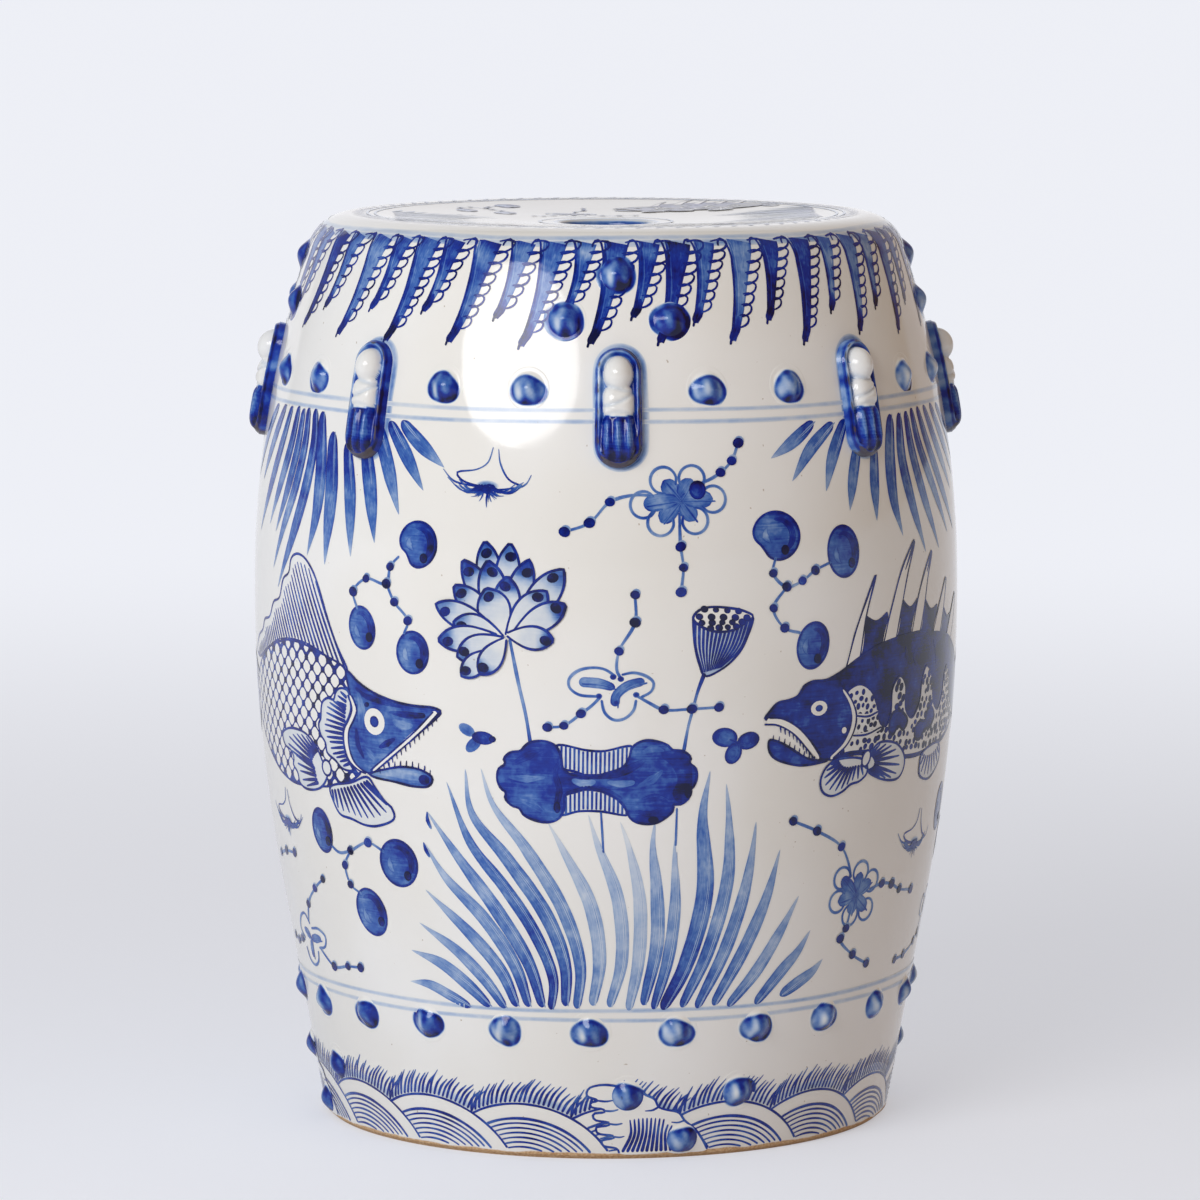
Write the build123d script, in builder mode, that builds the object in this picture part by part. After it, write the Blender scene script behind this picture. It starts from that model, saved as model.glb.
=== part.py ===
from build123d import *
import os
from math import asin, cos, degrees, radians, sin, sqrt, tan

# A drum-shaped garden stool in glazed ceramic. It is made as a potter makes it: two thrown halves
# luted at the belly, a slab seat on top, a turned foot ring below, and moulded sprigs (lugs and
# drum nails) luted on the outside. The axis is Z, the floor is Z = 0 and the front is -Y.
os.makedirs("parts", exist_ok=True)

# Barrel, in millimetres
height = 457.0  # floor to the flat land round the seat
belly_radius = 178.5  # outside, at the widest point
belly_height = 268.0  # height of the widest point, where the thrown halves meet
upper_curve = 545.0  # radius of the wall's curve above the belly
lower_curve = 840.0  # radius of the wall's curve below the belly
skirt_taper = 10.3  # degrees that the straight skirt leans in towards the foot
wall = 9.0
rim_round = 22.0  # rounding from the shoulder to the seat

# Seat
seat_thickness = 12.0
seat_land = 9.0  # width of the flat ring round the dished seat
dish_depth = 5.0  # sag of the seat at its middle
hole_radius = 22.5  # finger hole for lifting
hole_round = 3.0

# Foot ring
foot_height = 14.0
foot_width = 22.0
foot_chamfer = 2.0

# Lugs: moulded sprigs of a small robed figure
lug_count = 8
lug_drop = 84.0  # from the seat's land down to a lug's middle
lug_length = 58.0
lug_width = 22.5
lug_rise = 9.2  # how far the robe stands off the wall
lug_edge = 4.2  # how far the plaque's edge stands off the wall
lug_end_width = 9.0  # width of the blunt ends
neck_rise = 5.6
head_width = 14.5
head_length = 16.5
head_rise = 10.2
head_drop = 11.0  # from the lug's top end to the middle of the head
neck_drop = 19.5  # from the lug's top end to the neck
sleeve_drop = 25.0  # from the lug's top end to the folded sleeves
sleeve_length = 15.5
sleeve_thickness = 5.0
fold_count = 3
fold_spacing = 4.6
fold_radius = 1.5
fold_depth = 0.9
fold_length = 19.0
fold_drop = 42.5  # from the lug's top end to the middle of the folds
sprig_root = 7.0  # how far a sprig is built into the wall before it is trimmed to it

# Drum nails: domed sprigs
nail_diameter = 16.5
nail_rise = 4.0
nails_between_lugs = 2
upper_row_rise = 9.0  # from a lug's middle up to the row
lower_row_count = 23
lower_row_height = 66.0
lower_row_turn = 10.8  # degrees from the front lug to the next nail on its right
cluster_count = 4
shoulder_pair_rise = 13.0  # from a lug's top end up to the pair
shoulder_top_rise = 21.5  # from the pair up to the single nail
shoulder_pair_angle = 9.2  # degrees each side of the cluster's middle
foot_low_height = 10.0
foot_pair_rise = 23.0  # from the low nail up to the pair
foot_pair_angle = 10.8
foot_cluster_turn = 12.9  # degrees from the front lug to the middle of the cluster on its right

# The wall's outer curve: centres of its arcs and the heights where one run meets the next
upper_centre = belly_radius - upper_curve
lower_centre = belly_radius - lower_curve
rim_centre_height = height - rim_round
rim_lean = asin((rim_centre_height - belly_height) / (upper_curve - rim_round))
rim_centre = upper_centre + (upper_curve - rim_round) * cos(rim_lean)
shoulder_top = belly_height + upper_curve * sin(rim_lean)
skirt_lean = radians(skirt_taper)
seat_seam = height - seat_thickness
lug_height = height - lug_drop
lug_top = lug_length / 2
upper_row_height = lug_height + upper_row_rise
shoulder_pair_height = lug_height + lug_top + shoulder_pair_rise
shoulder_top_height = shoulder_pair_height + shoulder_top_rise
foot_pair_height = foot_low_height + foot_pair_rise


def wall_radius(z, inset=0.0):
    """Radius of the barrel at height z, on the outer face or inset inside it."""
    rim_start = rim_centre_height + (rim_round - inset) * sin(rim_lean)
    skirt_top = belly_height - (lower_curve - inset) * sin(skirt_lean)
    if z > rim_start:
        return rim_centre + sqrt((rim_round - inset) ** 2 - (z - rim_centre_height) ** 2)
    if z > belly_height:
        return upper_centre + sqrt((upper_curve - inset) ** 2 - (z - belly_height) ** 2)
    if z > skirt_top:
        return lower_centre + sqrt((lower_curve - inset) ** 2 - (z - belly_height) ** 2)
    skirt_top_radius = lower_centre + (lower_curve - inset) * cos(skirt_lean)
    return skirt_top_radius - (skirt_top - z) * tan(skirt_lean)


def wall_lean(z):
    """Angle in radians by which the wall's outward normal points up (+) or down (-) at height z."""
    if z > shoulder_top:
        return asin((z - rim_centre_height) / rim_round)
    if z > belly_height:
        return asin((z - belly_height) / upper_curve)
    return -min(skirt_lean, asin((belly_height - z) / lower_curve))


def revolved_body(inset):
    """The solid of revolution inside the wall's outer face, or inset inside it."""
    rim_start = rim_centre_height + (rim_round - inset) * sin(rim_lean)
    skirt_top = belly_height - (lower_curve - inset) * sin(skirt_lean)
    top = height - inset
    rim_middle = rim_centre_height + (rim_round - inset) * sin((rim_lean + radians(90)) / 2)
    shoulder_middle = (belly_height + rim_start) / 2
    belly_low = (belly_height + skirt_top) / 2
    belly = (wall_radius(belly_height, inset), belly_height)
    with BuildPart() as body:
        with BuildSketch(Plane.XZ):
            with BuildLine():
                Polyline((0, top), (0, 0), (wall_radius(0, inset), 0), (wall_radius(skirt_top, inset), skirt_top))
                ThreePointArc(
                    (wall_radius(skirt_top, inset), skirt_top), (wall_radius(belly_low, inset), belly_low), belly
                )
                ThreePointArc(
                    belly,
                    (wall_radius(shoulder_middle, inset), shoulder_middle),
                    (wall_radius(rim_start, inset), rim_start),
                )
                ThreePointArc(
                    (wall_radius(rim_start, inset), rim_start),
                    (wall_radius(rim_middle, inset), rim_middle),
                    (rim_centre, top),
                )
                Line((rim_centre, top), (0, top))
            make_face()
        revolve(axis=Axis.Z)
    return body.part


outer_body = revolved_body(0)
hollow = revolved_body(wall)


def wall_plane(z):
    """A plane on the wall's outer face at the front, X to the right, Y up the wall and Z outward."""
    lean = wall_lean(z)
    return Plane(origin=(0, -wall_radius(z), z), x_dir=(1, 0, 0), z_dir=(0, -cos(lean), sin(lean)))


# Thrown halves of the barrel
with BuildPart() as upper_barrel:
    add(outer_body)
    add(hollow, mode=Mode.SUBTRACT)
    split(bisect_by=Plane.XY.offset(belly_height), keep=Keep.TOP)
    split(bisect_by=Plane.XY.offset(seat_seam), keep=Keep.BOTTOM)

with BuildPart() as lower_barrel:
    add(outer_body)
    add(hollow, mode=Mode.SUBTRACT)
    split(bisect_by=Plane.XY.offset(belly_height), keep=Keep.BOTTOM)
    split(bisect_by=Plane.XY.offset(foot_height), keep=Keep.TOP)

# Slab seat: a dished disc with a flat land round it and a finger hole in the middle
dish_radius = rim_centre - seat_land
dish_curve = (dish_radius**2 + dish_depth**2) / (2 * dish_depth)


def dish_height(radius):
    """Height of the dished seat at a radius from its middle."""
    return height - dish_depth + dish_curve - sqrt(dish_curve**2 - radius**2)


lip_radius = hole_radius + hole_round
lip_height = dish_height(lip_radius)
dish_middle = (lip_radius + dish_radius) / 2
with BuildPart() as seat_slab:
    add(outer_body)
    split(bisect_by=Plane.XY.offset(seat_seam), keep=Keep.TOP)
    with BuildSketch(Plane.XZ):
        with BuildLine():
            Polyline(
                (dish_radius, height),
                (0, height),
                (0, seat_seam),
                (hole_radius, seat_seam),
                (hole_radius, lip_height - hole_round),
            )
            ThreePointArc(
                (hole_radius, lip_height - hole_round),
                (lip_radius - hole_round * cos(radians(45)), lip_height - hole_round * (1 - sin(radians(45)))),
                (lip_radius, lip_height),
            )
            ThreePointArc(
                (lip_radius, lip_height), (dish_middle, dish_height(dish_middle)), (dish_radius, height)
            )
        make_face()
    revolve(axis=Axis.Z, mode=Mode.SUBTRACT)

# Foot ring: the turned rim that the stool stands on, bare of glaze at its lower edge
with BuildPart() as foot_ring:
    add(outer_body)
    split(bisect_by=Plane.XY.offset(foot_height), keep=Keep.BOTTOM)
    with Locations((0, 0, foot_height)):
        Hole(radius=wall_radius(0) - foot_width)
    standing_face = foot_ring.faces().sort_by(Axis.Z)[0]
    chamfer(standing_face.edges(), length=foot_chamfer)

# One lug at the front: a blunt-ended plaque whose face swells at the robe and dips at the neck
lug_plane = wall_plane(lug_height)


def lug_section(drop, width, edge, crest):
    """A cross-section of the plaque, drop below the lug's top end, with an arched face."""
    plane = Plane(
        origin=lug_plane.from_local_coords((0, lug_top - drop, 0)),
        x_dir=lug_plane.x_dir,
        z_dir=-lug_plane.y_dir,
    )
    with BuildSketch(plane) as section:
        with BuildLine():
            Polyline(
                (-width / 2, edge), (-width / 2, -sprig_root), (width / 2, -sprig_root), (width / 2, edge)
            )
            ThreePointArc((width / 2, edge), (0, crest), (-width / 2, edge))
        make_face()
    return section.sketch


end_drop = lug_width / 2
shoulder_width = (lug_width + lug_end_width) / 2
lug_stations = (
    (0, lug_end_width, lug_edge * 0.5, lug_rise * 0.5),
    (end_drop * 0.3, shoulder_width, lug_edge * 0.8, lug_rise * 0.75),
    (end_drop, lug_width, lug_edge, lug_rise * 0.85),
    (neck_drop, lug_width, lug_edge, neck_rise),
    (fold_drop - fold_length / 2, lug_width, lug_edge, lug_rise * 0.95),
    (lug_length - end_drop, lug_width, lug_edge, lug_rise),
    (lug_length - end_drop * 0.3, shoulder_width, lug_edge * 0.8, lug_rise * 0.8),
    (lug_length, lug_end_width, lug_edge * 0.5, lug_rise * 0.5),
)
lug_sections = [lug_section(*station) for station in lug_stations]

with BuildPart() as front_lug:
    loft(lug_sections)
    with BuildPart(mode=Mode.PRIVATE) as ball:
        Sphere(radius=0.5)
    head = scale(ball.part, by=(head_width, head_length, 2 * head_rise), mode=Mode.PRIVATE)
    sleeves = scale(ball.part, by=(sleeve_length, sleeve_thickness, 2 * lug_rise), mode=Mode.PRIVATE)
    with Locations(lug_plane):
        with Locations((0, lug_top - head_drop, 0)):
            add(head)
        with Locations((0, lug_top - sleeve_drop, 0)):
            add(sleeves)
        with Locations((0, lug_top - fold_drop, lug_rise + fold_radius - fold_depth)):
            with GridLocations(fold_spacing, 1, fold_count, 1):
                Cylinder(radius=fold_radius, height=fold_length, rotation=(90, 0, 0), mode=Mode.SUBTRACT)
    add(outer_body, mode=Mode.SUBTRACT)

lugs = []
for number in range(lug_count):
    with BuildPart() as lug:
        add(front_lug.part, rotation=(0, 0, number * 360 / lug_count))
    lugs.append(lug)


def nail(z):
    """A drum nail at the front of the wall, trimmed to it."""
    ball_radius = ((nail_diameter / 2) ** 2 + nail_rise**2) / (2 * nail_rise)
    with BuildPart() as dome:
        with Locations(wall_plane(z).offset(nail_rise - ball_radius)):
            Sphere(radius=ball_radius)
        add(outer_body, mode=Mode.SUBTRACT)
    return dome.part


# Rows and clusters of drum nails, turned about the axis from the front
nail_places = nails_between_lugs + 1
upper_nail = nail(upper_row_height)
with BuildPart() as upper_row_nails:
    for gap in range(lug_count):
        for place in range(1, nail_places):
            add(upper_nail, rotation=(0, 0, (gap + place / nail_places) * 360 / lug_count))

lower_nail = nail(lower_row_height)
with BuildPart() as lower_row_nails:
    for number in range(lower_row_count):
        add(lower_nail, rotation=(0, 0, lower_row_turn + number * 360 / lower_row_count))


def nail_clusters(single_height, pair_height, pair_angle, turn):
    """Clusters of three nails: one on the middle line and a pair beside it at another height."""
    single = nail(single_height)
    beside = nail(pair_height)
    with BuildPart() as clusters:
        for number in range(cluster_count):
            middle = turn + number * 360 / cluster_count
            add(single, rotation=(0, 0, middle))
            add(beside, rotation=(0, 0, middle - pair_angle))
            add(beside, rotation=(0, 0, middle + pair_angle))
    return clusters


shoulder_nails = nail_clusters(shoulder_top_height, shoulder_pair_height, shoulder_pair_angle, 0)
foot_nails = nail_clusters(foot_low_height, foot_pair_height, foot_pair_angle, foot_cluster_turn)

# Each piece as a named part
pieces = {
    "upper_barrel": upper_barrel,
    "lower_barrel": lower_barrel,
    "seat_slab": seat_slab,
    "foot_ring": foot_ring,
    "upper_row_nails": upper_row_nails,
    "lower_row_nails": lower_row_nails,
    "shoulder_nails": shoulder_nails,
    "foot_nails": foot_nails,
}
for number, lug in enumerate(lugs, start=1):
    pieces[f"lug_{number}"] = lug
for name, piece in pieces.items():
    piece.part.label = name
    export_step(piece.part, f"parts/{name}.step")
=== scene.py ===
"""Looks of the garden stool: glazed barrel, moulded sprigs and a lotus pond painted in blue.

Lengths are in millimetres until a mesh is made. A place on the wall is (degrees round from the
front, height), a place on the seat is (x, y), and the painting is thin brush marks on the glaze.
"""

import math

import bmesh
import bpy
import numpy as np
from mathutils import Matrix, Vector
from mathutils.geometry import delaunay_2d_cdt


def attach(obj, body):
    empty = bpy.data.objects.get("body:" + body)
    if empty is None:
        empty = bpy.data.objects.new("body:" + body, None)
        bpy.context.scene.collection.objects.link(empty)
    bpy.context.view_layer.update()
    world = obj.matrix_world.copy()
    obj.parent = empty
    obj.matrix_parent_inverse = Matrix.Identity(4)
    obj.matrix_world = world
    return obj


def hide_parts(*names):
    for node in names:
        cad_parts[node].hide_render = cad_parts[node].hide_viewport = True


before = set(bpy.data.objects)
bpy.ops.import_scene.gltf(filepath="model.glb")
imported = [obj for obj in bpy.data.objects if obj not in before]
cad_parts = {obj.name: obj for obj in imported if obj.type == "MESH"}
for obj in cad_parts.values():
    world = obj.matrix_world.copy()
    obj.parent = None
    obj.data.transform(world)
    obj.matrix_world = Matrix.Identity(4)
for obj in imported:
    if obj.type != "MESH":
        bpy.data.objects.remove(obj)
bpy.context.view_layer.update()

# The stool's form, the same driving sizes as the solids
MM = 0.001
HEIGHT = 457.0
BELLY_RADIUS, BELLY_HEIGHT = 178.5, 268.0
UPPER_CURVE, LOWER_CURVE = 545.0, 840.0
TAPER = math.radians(10.3)
WALL = 9.0
RIM_ROUND = 22.0
SEAT_THICKNESS, SEAT_LAND, DISH_DEPTH = 12.0, 9.0, 5.0
HOLE_RADIUS, HOLE_ROUND = 22.5, 3.0
FOOT_HEIGHT, FOOT_WIDTH, FOOT_CHAMFER = 14.0, 22.0, 2.0
LUG_COUNT, LUG_HEIGHT, LUG_LENGTH, LUG_WIDTH = 8, 373.0, 58.0, 22.5
NAIL_RADIUS, NAIL_RISE = 8.25, 4.0
SEGMENTS, SHARP_ANGLE = 480, math.radians(35)

rim_height = HEIGHT - RIM_ROUND
seam_height = HEIGHT - SEAT_THICKNESS
upper_axis = BELLY_RADIUS - UPPER_CURVE
lower_axis = BELLY_RADIUS - LOWER_CURVE
rim_lean = math.asin((rim_height - BELLY_HEIGHT) / (UPPER_CURVE - RIM_ROUND))
rim_centre = upper_axis + (UPPER_CURVE - RIM_ROUND) * math.cos(rim_lean)
dish_radius = rim_centre - SEAT_LAND
dish_curve = (dish_radius**2 + DISH_DEPTH**2) / (2 * DISH_DEPTH)

# Heights of the painted layers above the glaze, and the fineness of their meshes
HALO, WASH, LINE, OVER, OVER_LINE, DOT = 0.06, 0.10, 0.16, 0.22, 0.28, 0.34
STEP, CELL = 1.6, 3.0
STREAK_LENGTH, STREAK_BAND = 30.0, 7.0
WOBBLE, WOBBLE_LENGTH, LEAST_HALF = 0.05, 3.1, 0.05
EDGE_STEP, EDGE_CLEAR, LATTICE_SHIFT = 1.5, 0.35, 0.37
SHEET_GAP, SHEET_SLACK, SPRIG_MARGIN = 1.2, 1.08, 0.04
SCALE_PITCH, SCALE_SIZE = (9.4, 4.7), 3.4
rng = np.random.default_rng(11)


def wall_lean(z, inset=0.0):
    """Angle of the wall's outward normal above the horizon."""
    z = np.asarray(z, float)

    def lean(centre, curve):
        return np.arcsin(np.clip((z - centre) / (curve - inset), -1, 1))

    upper = lean(BELLY_HEIGHT, UPPER_CURVE)
    upper = np.where(upper > rim_lean, lean(rim_height, RIM_ROUND), upper)
    return np.where(z > BELLY_HEIGHT, upper, np.maximum(lean(BELLY_HEIGHT, LOWER_CURVE), -TAPER))


def wall_radius(z, inset=0.0):
    """Radius of the outer wall, or of the wall that lies inset from it."""
    z = np.asarray(z, float)
    lean = wall_lean(z, inset)
    rim = rim_centre + (RIM_ROUND - inset) * np.cos(lean)
    upper = upper_axis + (UPPER_CURVE - inset) * np.cos(lean)
    knee = BELLY_HEIGHT - (LOWER_CURVE - inset) * math.sin(TAPER)
    lower = lower_axis + (LOWER_CURVE - inset) * np.cos(lean) - np.maximum(knee - z, 0) * math.tan(TAPER)
    upper = np.where(lean > rim_lean + 1e-6, rim, upper)
    return np.where(z > BELLY_HEIGHT, upper, lower)


def seat_height(r):
    """Height of the seat's top, which is dished inside its flat land."""
    r = np.minimum(np.asarray(r, float), dish_radius)
    return HEIGHT - DISH_DEPTH + dish_curve - np.sqrt(dish_curve**2 - r**2)


def degrees(length, z):
    """Degrees round the wall that a length takes up at height z."""
    return length / (wall_radius(z) * math.pi / 180)


def join(*columns):
    """One row for each place, from its coordinates."""
    return np.stack(columns, 1)


def rotated(places, bearing):
    """Flat places turned anticlockwise by degrees."""
    c, s = math.cos(math.radians(bearing)), math.sin(math.radians(bearing))
    x, y = places.T
    return join(x * c - y * s, x * s + y * c)


def shifted(place, right=0.0, up=0.0):
    """A place on the wall moved by millimetres."""
    return place[0] + float(degrees(right, place[1])), place[1] + up


def moved(path, right=0.0, up=0.0):
    """A path on the wall moved by millimetres."""
    return [shifted(place, right, up) for place in path]


def midway(a, b):
    return (a[0] + b[0]) / 2, (a[1] + b[1]) / 2


class Wall:
    """The barrel's outside, as a surface to paint on."""

    @staticmethod
    def scale(places):
        return float(wall_radius(np.mean(places[:, 1]))) * math.pi / 180

    @staticmethod
    def lay(places, lift):
        angle, z = np.radians(places[:, 0]), places[:, 1]
        lean, r = wall_lean(z), wall_radius(z)
        normal = join(np.sin(angle) * np.cos(lean), -np.cos(angle) * np.cos(lean), np.sin(lean))
        return join(np.sin(angle) * r, -np.cos(angle) * r, z) + normal * np.reshape(lift, (-1, 1)), normal

    @staticmethod
    def turned(places, turn):
        return places + (turn, 0)


class Seat:
    """The seat's top, as a surface to paint on."""

    turned = staticmethod(rotated)

    @staticmethod
    def scale(places):
        return 1.0

    @staticmethod
    def lay(places, lift):
        x, y = places.T
        r = np.hypot(x, y)
        slope = np.where(r < dish_radius, r / dish_curve, 0.0) / np.maximum(r, 1e-6)
        normal = join(-x * slope, -y * slope, np.ones(len(r)))
        return join(x, y, seat_height(r)) + normal * np.reshape(lift, (-1, 1)), normal


def smooth(points, closed=False, per_span=10):
    """Dense smooth line through given points."""
    points = np.asarray(points, float)
    if closed:
        points = np.vstack((points[-2:], points, points[:3]))
    if len(points) == 2:
        return points[0] + np.linspace(0, 1, per_span)[:, None] * (points[1] - points[0])
    chord = np.maximum(np.hypot(*np.diff(points, axis=0).T), 1e-6)
    knots = np.concatenate(([0.0], np.cumsum(np.sqrt(chord))))
    tangent = np.gradient(points, knots, axis=0)
    spans = range(2, len(points) - 3) if closed else range(len(points) - 1)
    t = np.linspace(0, 1, per_span, endpoint=False)[:, None]
    line = []
    for i in spans:
        h = knots[i + 1] - knots[i]
        line.append(
            (2 * t**3 - 3 * t**2 + 1) * points[i]
            + (t**3 - 2 * t**2 + t) * h * tangent[i]
            + (3 * t**2 - 2 * t**3) * points[i + 1]
            + (t**3 - t**2) * h * tangent[i + 1]
        )
    return np.vstack(line + [points[spans[-1] + 1][None]])


def resample(line, places):
    """Points of a dense line at the given lengths along it."""
    run = run_length(line)
    return join(*(np.interp(places, run, column) for column in line.T))


def run_length(line):
    return np.concatenate(([0.0], np.cumsum(np.hypot(*np.diff(line, axis=0).T))))


def spread(values, along):
    """One value, or a short list of values spread evenly along a stroke."""
    values = np.atleast_1d(np.asarray(values, float))
    return np.interp(along, np.linspace(0, 1, max(2, len(values))), np.resize(values, max(2, len(values))))


def bell(x, centre, width):
    return np.exp(-(((x - centre) / width) ** 2))


def rise(value, low, high):
    """Smooth step from 0 at low to 1 at high."""
    t = np.clip((value - low) / (high - low), 0, 1)
    return t * t * (3 - 2 * t)


def inside(points, loop):
    """Which points lie inside a closed loop."""
    x, y = points[:, :1], points[:, 1:]
    a, b = loop, np.roll(loop, -1, axis=0)
    crosses = (a[:, 1] > y) != (b[:, 1] > y)
    climb = np.where(b[:, 1] == a[:, 1], 1e-9, b[:, 1] - a[:, 1])
    at = a[:, 0] + (y - a[:, 1]) * (b[:, 0] - a[:, 0]) / climb
    return np.sum(crosses & (x < at), axis=1) % 2 == 1


def edge_distance(points, loop):
    """Distance of each point from a closed loop."""
    d = np.roll(loop, -1, axis=0) - loop
    to = points[:, None] - loop[None]
    t = np.clip(np.sum(to * d, 2) / np.maximum(np.sum(d * d, 1), 1e-12), 0, 1)
    return np.sqrt(np.min(np.sum((to - t[..., None] * d) ** 2, 2), axis=1))


def depth(place, loop):
    """How far a place lies inside a closed loop, or -1 outside."""
    return edge_distance(place[None], loop)[0] if inside(place[None], loop)[0] else -1.0


def net(low, high, across, up):
    """Staggered places between two corners, row by row."""
    for row, y in enumerate(np.arange(low[1], high[1], up)):
        for x in np.arange(low[0] + (row % 2) * across / 2, high[0], across):
            yield np.array((x, y))


def grid_faces(rows, columns, around=False):
    """Quads of a grid of points, row by row."""
    faces = []
    for i in range(rows - 1):
        for j in range(columns if around else columns - 1):
            k = (j + 1) % columns
            faces.append((i * columns + j, i * columns + k, (i + 1) * columns + k, (i + 1) * columns + j))
    return faces


def disc_faces(rings, sides):
    """Faces of a middle point with rings of points round it."""
    faces = [(0, 1 + (j + 1) % sides, 1 + j) for j in range(sides)]
    return faces + [tuple(1 + i for i in f) for f in grid_faces(rings, sides, True)]


class Painting:
    """Brush marks that are gathered into one thin piece."""

    def __init__(self, surface=Wall):
        self.surface = surface
        self.marks = []

    def add(self, places, faces, ink, grain, sheet, lift):
        ink = np.broadcast_to(np.clip(ink, 0, 1), len(places))
        self.marks.append((places, faces, ink, grain, sheet - sheet.min(axis=0), lift))

    def flat(self, places):
        """Places in millimetres along their surface, and the scale that made them so."""
        places = np.asarray(places, float)
        scale = np.array((self.surface.scale(places), 1))
        return places * scale, scale

    def shape(self, outline):
        """The dense line round a closed shape, its scale, and its lowest and highest corners."""
        flat, scale = self.flat(outline)
        loop = smooth(flat, True)[:-1]
        return loop, scale, loop.min(axis=0), loop.max(axis=0)

    def stroke(
        self, path, width, ink, lift=LINE, columns=3, step=STEP, closed=False, blunt=False, soft=0.0
    ):
        """A brush line along a path; width and ink may change along it, and soft fades its edges."""
        path, scale = self.flat(path)
        line = smooth(path, closed)
        total = run_length(line)[-1]
        widest = float(np.max(width))
        places = np.linspace(0, total, max(4, math.ceil(total / step) + 1))
        if not blunt and total > 2 * widest:
            ends = np.array((0.06, 0.2, 0.45)) * widest
            places = np.unique(np.concatenate((places, ends, total - ends)))
        line = resample(line, places)
        along = places / total
        tangent = np.gradient(line, places, axis=0)
        tangent /= np.maximum(np.hypot(*tangent.T), 1e-9)[:, None]
        normal = join(-tangent[:, 1], tangent[:, 0])
        half = spread(width, along) / 2
        wave = np.sin(places / WOBBLE_LENGTH + rng.uniform(0, 6.28))
        half = np.maximum(half + WOBBLE * wave, LEAST_HALF)
        if not (blunt or closed):
            near = np.minimum(places, total - places)
            half = half * np.sqrt(1 - np.clip(1 - near / (widest / 2), 0, 1) ** 2 * 0.98)
        across = np.linspace(-1, 1, columns)
        grid = line[:, None] + normal[:, None] * (half[:, None] * across)[..., None]
        grain = np.stack(np.broadcast_arrays(places[:, None] / 10, across), 2)
        sheet = np.stack(np.broadcast_arrays(places[:, None], half[:, None] * across), 2)
        grid, grain, sheet = (values.reshape(-1, 2) for values in (grid, grain, sheet))
        tone = np.outer(spread(ink, along), 1 - soft * across**2).ravel()
        self.add(grid / scale, grid_faces(len(places), columns), tone, grain, sheet, lift)

    def fill(self, outline, ink, lift=WASH, shade=(0, 0), rim=0.0, rim_width=2.5, cell=CELL):
        """A filled shape. Shade adds ink towards the right and the top, rim adds it near the edge.

        Ink may also be a function of the places.
        """
        outline, scale = self.flat(outline)
        loop = smooth(outline, True)
        total = run_length(loop)[-1]
        loop = resample(loop, np.linspace(0, total, max(8, math.ceil(total / EDGE_STEP)), endpoint=False))
        low, high = loop.min(axis=0), loop.max(axis=0)
        lattice = np.meshgrid(np.arange(low[0], high[0], cell), np.arange(low[1], high[1], cell))
        lattice = np.stack(lattice, 2).reshape(-1, 2) + cell * LATTICE_SHIFT
        lattice = lattice[inside(lattice, loop)]
        if len(lattice):
            lattice = lattice[edge_distance(lattice, loop) > EDGE_CLEAR * cell]
        count = len(loop)
        points = [Vector(p) for p in np.vstack((loop, lattice))]
        edges = [(i, (i + 1) % count) for i in range(count)]
        verts, _, faces, *_ = delaunay_2d_cdt(points, edges, [], 1, 1e-4)
        flat = np.array([tuple(v) for v in verts])
        edge = 1 - np.clip(edge_distance(flat, loop) / rim_width, 0, 1)
        where = (flat - (low + high) / 2) / np.maximum((high - low) / 2, 1e-6)
        tone = ink(flat / scale) if callable(ink) else ink
        tone = tone + where @ np.asarray(shade, float) + rim * edge**2
        bands = 0.5 * np.sin(flat[:, 1] * math.pi / STREAK_BAND)
        grain = join(flat[:, 0] / STREAK_LENGTH + flat[:, 1] * 0.05, bands)
        self.add(flat / scale, [tuple(f) for f in faces], tone, grain, flat, lift)

    def outlined(self, outline, ink, lift, line, line_ink, line_lift, **looks):
        """A filled shape with a line round it."""
        self.fill(outline, ink, lift, **looks)
        self.stroke(outline, line, line_ink, line_lift, closed=True)

    def dot(self, place, across, high, ink, lift=DOT, tilt=0.0, shade=(0, 0), rim=0.0, rings=2, corner=1.0):
        """A round or oval touch of the brush; a corner over 1 makes it a soft lozenge."""
        place = np.asarray(place, float)
        _, scale = self.flat(place[None])
        sides = max(12, int(across + high) * 2)
        angle = np.linspace(0, 2 * math.pi, sides, endpoint=False)
        unit = join(np.cos(angle), np.sin(angle))
        unit = np.sign(unit) * np.abs(unit) ** corner
        levels = np.repeat(np.linspace(1 / rings, 1, rings), sides)
        unit = np.vstack((np.zeros((1, 2)), np.tile(unit, (rings, 1)) * levels[:, None]))
        level = np.concatenate(([0.0], levels))
        flat = rotated(unit * (across, high), tilt)
        tone = ink + unit @ np.asarray(shade, float) + rim * level**3
        grain = join(flat[:, 0] / 10, level * 0.9)
        self.add(place + flat / scale, disc_faces(rings, sides), tone, grain, flat, lift)

    def hatch(self, outline, bearing, apart, width, ink, lift=LINE, trim=0):
        """Parallel lines across a closed shape; the bearing is in degrees from the horizontal."""
        loop, scale, *_ = self.shape(outline)
        turned = rotated(loop, -bearing)
        low, high = turned.min(axis=0), turned.max(axis=0)
        run = np.arange(low[0], high[0], 0.8)
        for level in np.arange(low[1] + apart / 2, high[1], apart):
            line = rotated(join(run, np.full(len(run), level)), bearing)
            marks = np.flatnonzero(np.diff(np.concatenate(([0], inside(line, loop), [0]))))
            for a, b in zip(marks[::2], marks[1::2] - trim):
                if b - a > 2:
                    self.stroke(line[[a, (a + b) // 2, b - 1]] / scale, width, ink, lift)

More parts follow.
